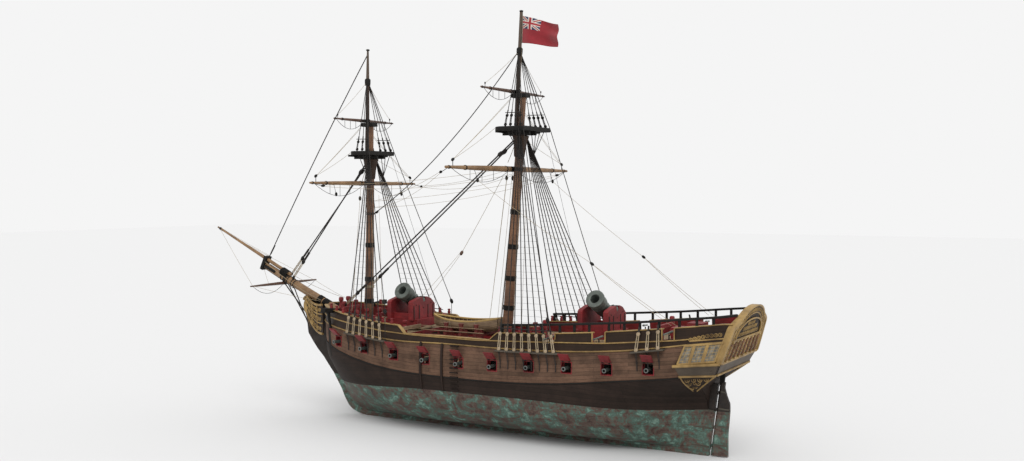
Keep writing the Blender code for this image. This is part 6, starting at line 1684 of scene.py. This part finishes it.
light = [ropes([cap_top, on_sprit(0.76, -0.27), on_sprit(0.68, -0.29), on_sprit(0.97, -0.24)],
               [pole, bob_feet[0], bob_feet[1], drop + (0, 0, 0.12)], [0.036, 0.045, 0.045, 0.04],
               [-0.25, 0.03, 0.03, 0.0], steps=12, sides=6),
         ropes([cap_top + unit(pole - cap_top) * 0.3], [cap_top + unit(pole - cap_top) * 1.1], 0.06,
               steps=3), ropes([on_sprit(0.60, -0.3)], [bob_feet[2]], 0.04, 0.03, steps=8, sides=6)]
head = upper_at(main, 25.65, 0.1)
reach = axis_at(fore, 14.7, -0.36)
light.append(ropes([head], [reach], 0.032, 0.95, steps=24, sides=6))
light += [hoop(axis_at(fore, 14.7 + d), (fore["rake"], 0, 1), float(low_radius(fore, 14.7)) + 0.02,
               0.028) for d in (-0.05, 0.05)]
light += [painted(block_at(reach + (-0.25, 0, 0.12), head - reach, 0.15), 1)]
light += [hoop(on_sprit(q), sprit, 0.305 - 0.05 * (q - 0.6), 0.035) for q in (0.60, 0.68, 0.76, 0.63, 0.70)]
horses = [(on_sprit(0.985, 0.35, s * 0.3), np.array((29.3, s * 1.3, 8.35))) for s in (1, -1)]
light.append(painted(strands(horses, 0.014, sag=0.22, steps=14), 2))
build("light_stays_and_bobstays", light, [ROPE, BLACK, HEMP])

# Running rigging: bare hemp lines with small blocks. Lifts and braces are made fast to the yards and
# lead to the caps, the tops and the rails; pendants, halyards and a tackle hang from the masts.
def to_yard(name, fast, arm, shapes):
    """A line with one end fast to the ship and the other on a yard's arm."""
    made = build(name, shapes, [HEMP, BLACK, ROPE], body=None)
    a, b = ((np.asarray(p, float) - ORIGIN) * SCALE for p in (fast, arm))
    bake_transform(made)


for name, which, z, half, radius, upper in YARDS:
    m = MASTS[which]
    middle = YARD_AXIS[name][1]
    for word, side in (("port", 1.0), ("starboard", -1.0)):
        arm = middle + (0, side * half * (0.88 if upper else 0.9), 0.05)
        if upper:
            fast = upper_at(m, m["head"] - 0.25, 0.05, side * 0.14)
            eye_at = arm + (0, 0, 0.22)
            shapes = [ropes([fast], [eye_at], 0.012, 0.08, steps=10),
                      painted(block_at(eye_at, (0, 0, 1), 0.08), 1),
                      painted(ropes([arm], [eye_at], 0.02, steps=3), 2)]
            to_yard(name + "_lift_" + word, fast, arm, shapes)
            continue
        eye_at = arm + (0, 0, 0.42)
        cap_eye = upper_at(m, m["cap"] - 0.1, 0.3, side * 0.34)
        rim = axis_at(m, m["top"] - 0.05, m["platform"] * 0.75, side * m["platform"] * 0.6)
        shapes = [ropes([cap_eye, cap_eye + (0.1, side * 0.08, -0.05), rim],
                        [eye_at, eye_at + (0.06, 0, -0.05), eye_at], 0.012, 0.06, steps=10),
                  painted(block_at(eye_at, cap_eye - eye_at, 0.16), 1),
                  painted(ropes([arm], [eye_at - (0, 0, 0.05)], 0.025, steps=3), 2)]
        to_yard(name + "_lift_" + word, rim, arm, shapes)
        tip = middle + (0, side * half * 0.965, 0)
        if which == "fore":
            hook = tip + (-0.85, -side * 0.12, -0.2)
            fast = axis_at(main, 17.9, 0.38, side * 0.2)
        else:
            hook = tip + (0.6, -side * 0.1, -0.3)
            fast = axis_at(fore, 15.6, -0.32, side * 0.12)
        shapes = [painted(ropes([tip], [hook], 0.022, 0.03, steps=4), 2),
                  painted(block_at(hook, fast - hook, 0.15), 1),
                  ropes([fast, fast + (0, 0, -0.45)], [hook + (0, 0, 0.04), hook - (0, 0, 0.04)], 0.011,
                        [0.25, 0.5], steps=16)]
        to_yard(name + "_brace_" + word, fast, tip, shapes)
        clew_y = side * half * (0.59 if side > 0 else 0.67)
        clew, ring = middle + (-radius - 0.05, clew_y, -0.78), middle + (0, clew_y, -0.1)
        shapes = [painted(block_at(clew, (0, 0, 1), 0.15), 1),
                  painted(ropes([ring], [clew], 0.016, steps=3), 2)]
        build(name + "_clew_block_" + word, shapes, [HEMP, BLACK, ROPE], body=name)
        if which == "main":
            fast = np.array((0.9, side * 3.3, float(cap_z(0.9)) + 0.12))
            purchase = fast + (clew - fast) * 0.41
            shapes = [ropes([clew, purchase, purchase], [purchase, fast, fast + (0.35, 0, 0)], 0.012,
                            [0.12, 0.06, 0.1], steps=12),
                      painted(block_at(purchase, clew - purchase, 0.16), 1)]
            to_yard("main_brace_" + word, fast, clew, shapes)

# Halyards, slings and the stay tackle belong to the masts; the spritsail yard has its own lines.
lines, eyes = [], []
for m in (fore, main):
    top = m["top"]
    for side in (1.0, -1.0):
        for k, (ahead, y, foot_y) in enumerate(((0.62, 0.35, 0.55), (0.5, 0.5, 0.75))):
            start = axis_at(m, top - 2.6, ahead, side * y)
            end = axis_at(m, max(m["foot"], 7.4) + 0.2, ahead + 0.5, side * foot_y)
            lines.append((start, end, 0.012))
        lines.append((axis_at(m, top - 3.1, -0.45, side * 0.4),
                      axis_at(m, max(m["foot"], 7.4) + 0.1, -0.75, side * 0.6), 0.011))
        eyes.append(painted(block_at(axis_at(m, top - 3.35, 0.62, side * 0.42), (0, 0, 1), 0.17), 1))
    sling = axis_at(m, top - 0.9, 0.35), axis_at(m, top - 2.3, 0.85)
    lines.append((*sling, 0.02))
low_end, high_end = np.array((20.5, 0.3, 8.9)), axis_at(main, 17.3, 1.15)
mid_block = np.array((17.9, 0.1, 12.05))
lines += [(high_end, mid_block, 0.015), (mid_block, low_end, 0.012),
          (mid_block + (0.1, 0.05, 0), low_end + (0.35, 0.4, 0), 0.012)]
eyes.append(painted(block_at(mid_block, high_end - mid_block, 0.19), 3))
lines.append((upper_at(main, 28.15, -0.12), np.array((13.3, 0.9, 7.9)), 0.007))
boom_tip = BOOM_END - boom_run * 0.3
for word, s in (("port", 1), ("starboard", -1)):
    arm = drop + (0, s * 3.5, 0)
    for kind, near, fast in (("lift", arm, boom_tip - (0, 0, 0.1)),
                             ("brace", arm - (0.05, 0, 0), np.array((29.2, s * 1.5, 8.3))),
                             ("halyard", arm * (1, 0.5, 1), SPRIT_END - lift * 0.3)):
        to_yard("spritsail_%s_%s" % (kind, word), fast, near,
                [ropes([near], [fast], 0.011, 0.05, steps=10)])
lines.append((boom_tip + (0, 0, 0.1), SPRIT_END + lift * 0.85, 0.010))
build("halyards_and_tackles", [strands(lines, sag=0.05, steps=10), *eyes],
      [HEMP, BLACK, ROPE, DARK_YARD])


# Ensign: wool bunting flown from the main pole, red with a crossed canton in the upper hoist, sewn
# to a canvas hoist that is toggled to the halyard. It hangs in slack folds on a light breeze.
def bunting():
    """Red wool with a blue canton under white and red crosses, drawn from the cloth's own map, and a
    plain weave drawn 12 mm coarse so that it shows."""
    mat = blank("wool_bunting")
    place = add(mat, "TexCoord")
    uv = add(mat, "SeparateXYZ", {"Vector": place.outputs["UV"]})

    def within(value, middle, half):
        """One where a value lies within half of a middle."""
        off = add(mat, "Math", {0: value, 1: middle}, operation="SUBTRACT")
        off = add(mat, "Math", {0: off.outputs[0]}, operation="ABSOLUTE")
        return add(mat, "Math", {0: off.outputs[0], 1: half}, operation="LESS_THAN").outputs[0]

    def over(under, colour, mask):
        """A colour laid over another where the mask is one."""
        return add(mat, "MixRGB", {"Fac": mask, "Color1": under, "Color2": tint(colour)}).outputs[0]

    u, v = uv.outputs["X"], uv.outputs["Y"]
    canton = add(mat, "Math", {0: within(u, 0.24, 0.25), 1: within(v, 0.775, 0.23)},
                 operation="MULTIPLY").outputs[0]
    offset = add(mat, "Math", {0: v, 1: 0.775}, operation="SUBTRACT").outputs[0]
    across = add(mat, "Math", {0: u, 1: 0.24}, operation="SUBTRACT").outputs[0]
    slope = add(mat, "Math", {0: across, 1: 0.92}, operation="MULTIPLY").outputs[0]
    one = add(mat, "Math", {0: offset, 1: slope}, operation="SUBTRACT").outputs[0]
    two = add(mat, "Math", {0: offset, 1: slope}, operation="ADD").outputs[0]
    inner = tint("#262f52")
    for line, colour, half in ((one, "#cfc9bf", 0.06), (two, "#cfc9bf", 0.06), (one, "#9d1f2b", 0.022),
                               (two, "#9d1f2b", 0.022), (across, "#d6d0c6", 0.055),
                               (offset, "#d6d0c6", 0.065), (across, "#9d1f2b", 0.03),
                               (offset, "#9d1f2b", 0.038)):
        inner = over(inner, colour, within(line, 0.0, half))
    flag_tone = add(mat, "MixRGB", {"Fac": canton, "Color1": tint("#8f1a25"), "Color2": inner})
    hoist_edge = over(flag_tone.outputs[0], "#b5aa98", within(u, 0.0, 0.018))
    worn = add(mat, "TexNoise", {"Vector": place.outputs["UV"], "Scale": 3.5, "Detail": 6.0,
                                 "Roughness": 0.6})
    fade = add(mat, "ValToRGB", {"Fac": worn.outputs["Fac"]}, stops=((0.3, "#c9bdb6"), (0.65, "#ffffff")))
    cloth = add(mat, "MixRGB", {"Fac": 0.6, "Color1": hoist_edge, "Color2": fade.outputs[0]},
                blend_type="MULTIPLY")
    size = add(mat, "Mapping", {"Vector": place.outputs["UV"], "Scale": (115.0, 75.0, 1.0)})
    weave = add(mat, "TexChecker", {"Vector": size.outputs[0], "Scale": 1.0})
    bump = add(mat, "Bump", {"Height": weave.outputs["Fac"], "Strength": 0.2, "Distance": 0.003})
    skin = add(mat, "BsdfPrincipled", {"Base Color": cloth.outputs[0], "Roughness": 0.85,
                                       "Sheen Weight": 0.3, "Normal": bump.outputs[0]})
    add(mat, "OutputMaterial", {"Surface": skin.outputs[0]})
    return mat


s, v = np.meshgrid(np.linspace(0, 1, 60), np.linspace(0, 1, 40), indexing="ij")
z = (26.2 - 0.42 * s) * (1 - v) + (28.0 - 0.78 * s) * v
hoist_x = upper_at(main, z)[..., 0] - np.interp(z, (25.86, 28.26), (0.12, main["tip"])) - 0.012
ripple = 0.135 * s ** 1.3 * np.sin(2 * np.pi * (1.5 * v + 0.55 * s) + 0.6)
x = hoist_x - s * 2.75 + 0.03 * np.sin(9 * v + 2) * s
y = 0.16 * np.sin(s * 7.0) + ripple
cloth = np.stack([x, y, z + 0.05 * s * np.sin(5.5 * s + 0.5)], -1)
ensign = build("wool_ensign", [net(cloth, uv=np.stack([s, v], -1))], bunting(), stands_for=["flag"],
               shell=True)
hem = ensign.modifiers.new("cloth_thickness", "SOLIDIFY")
hem.thickness, hem.offset = 0.004, 0.0
side_b = np.linalg.norm(np.diff(cloth, axis=1), axis=2).sum(1).mean() * SCALE
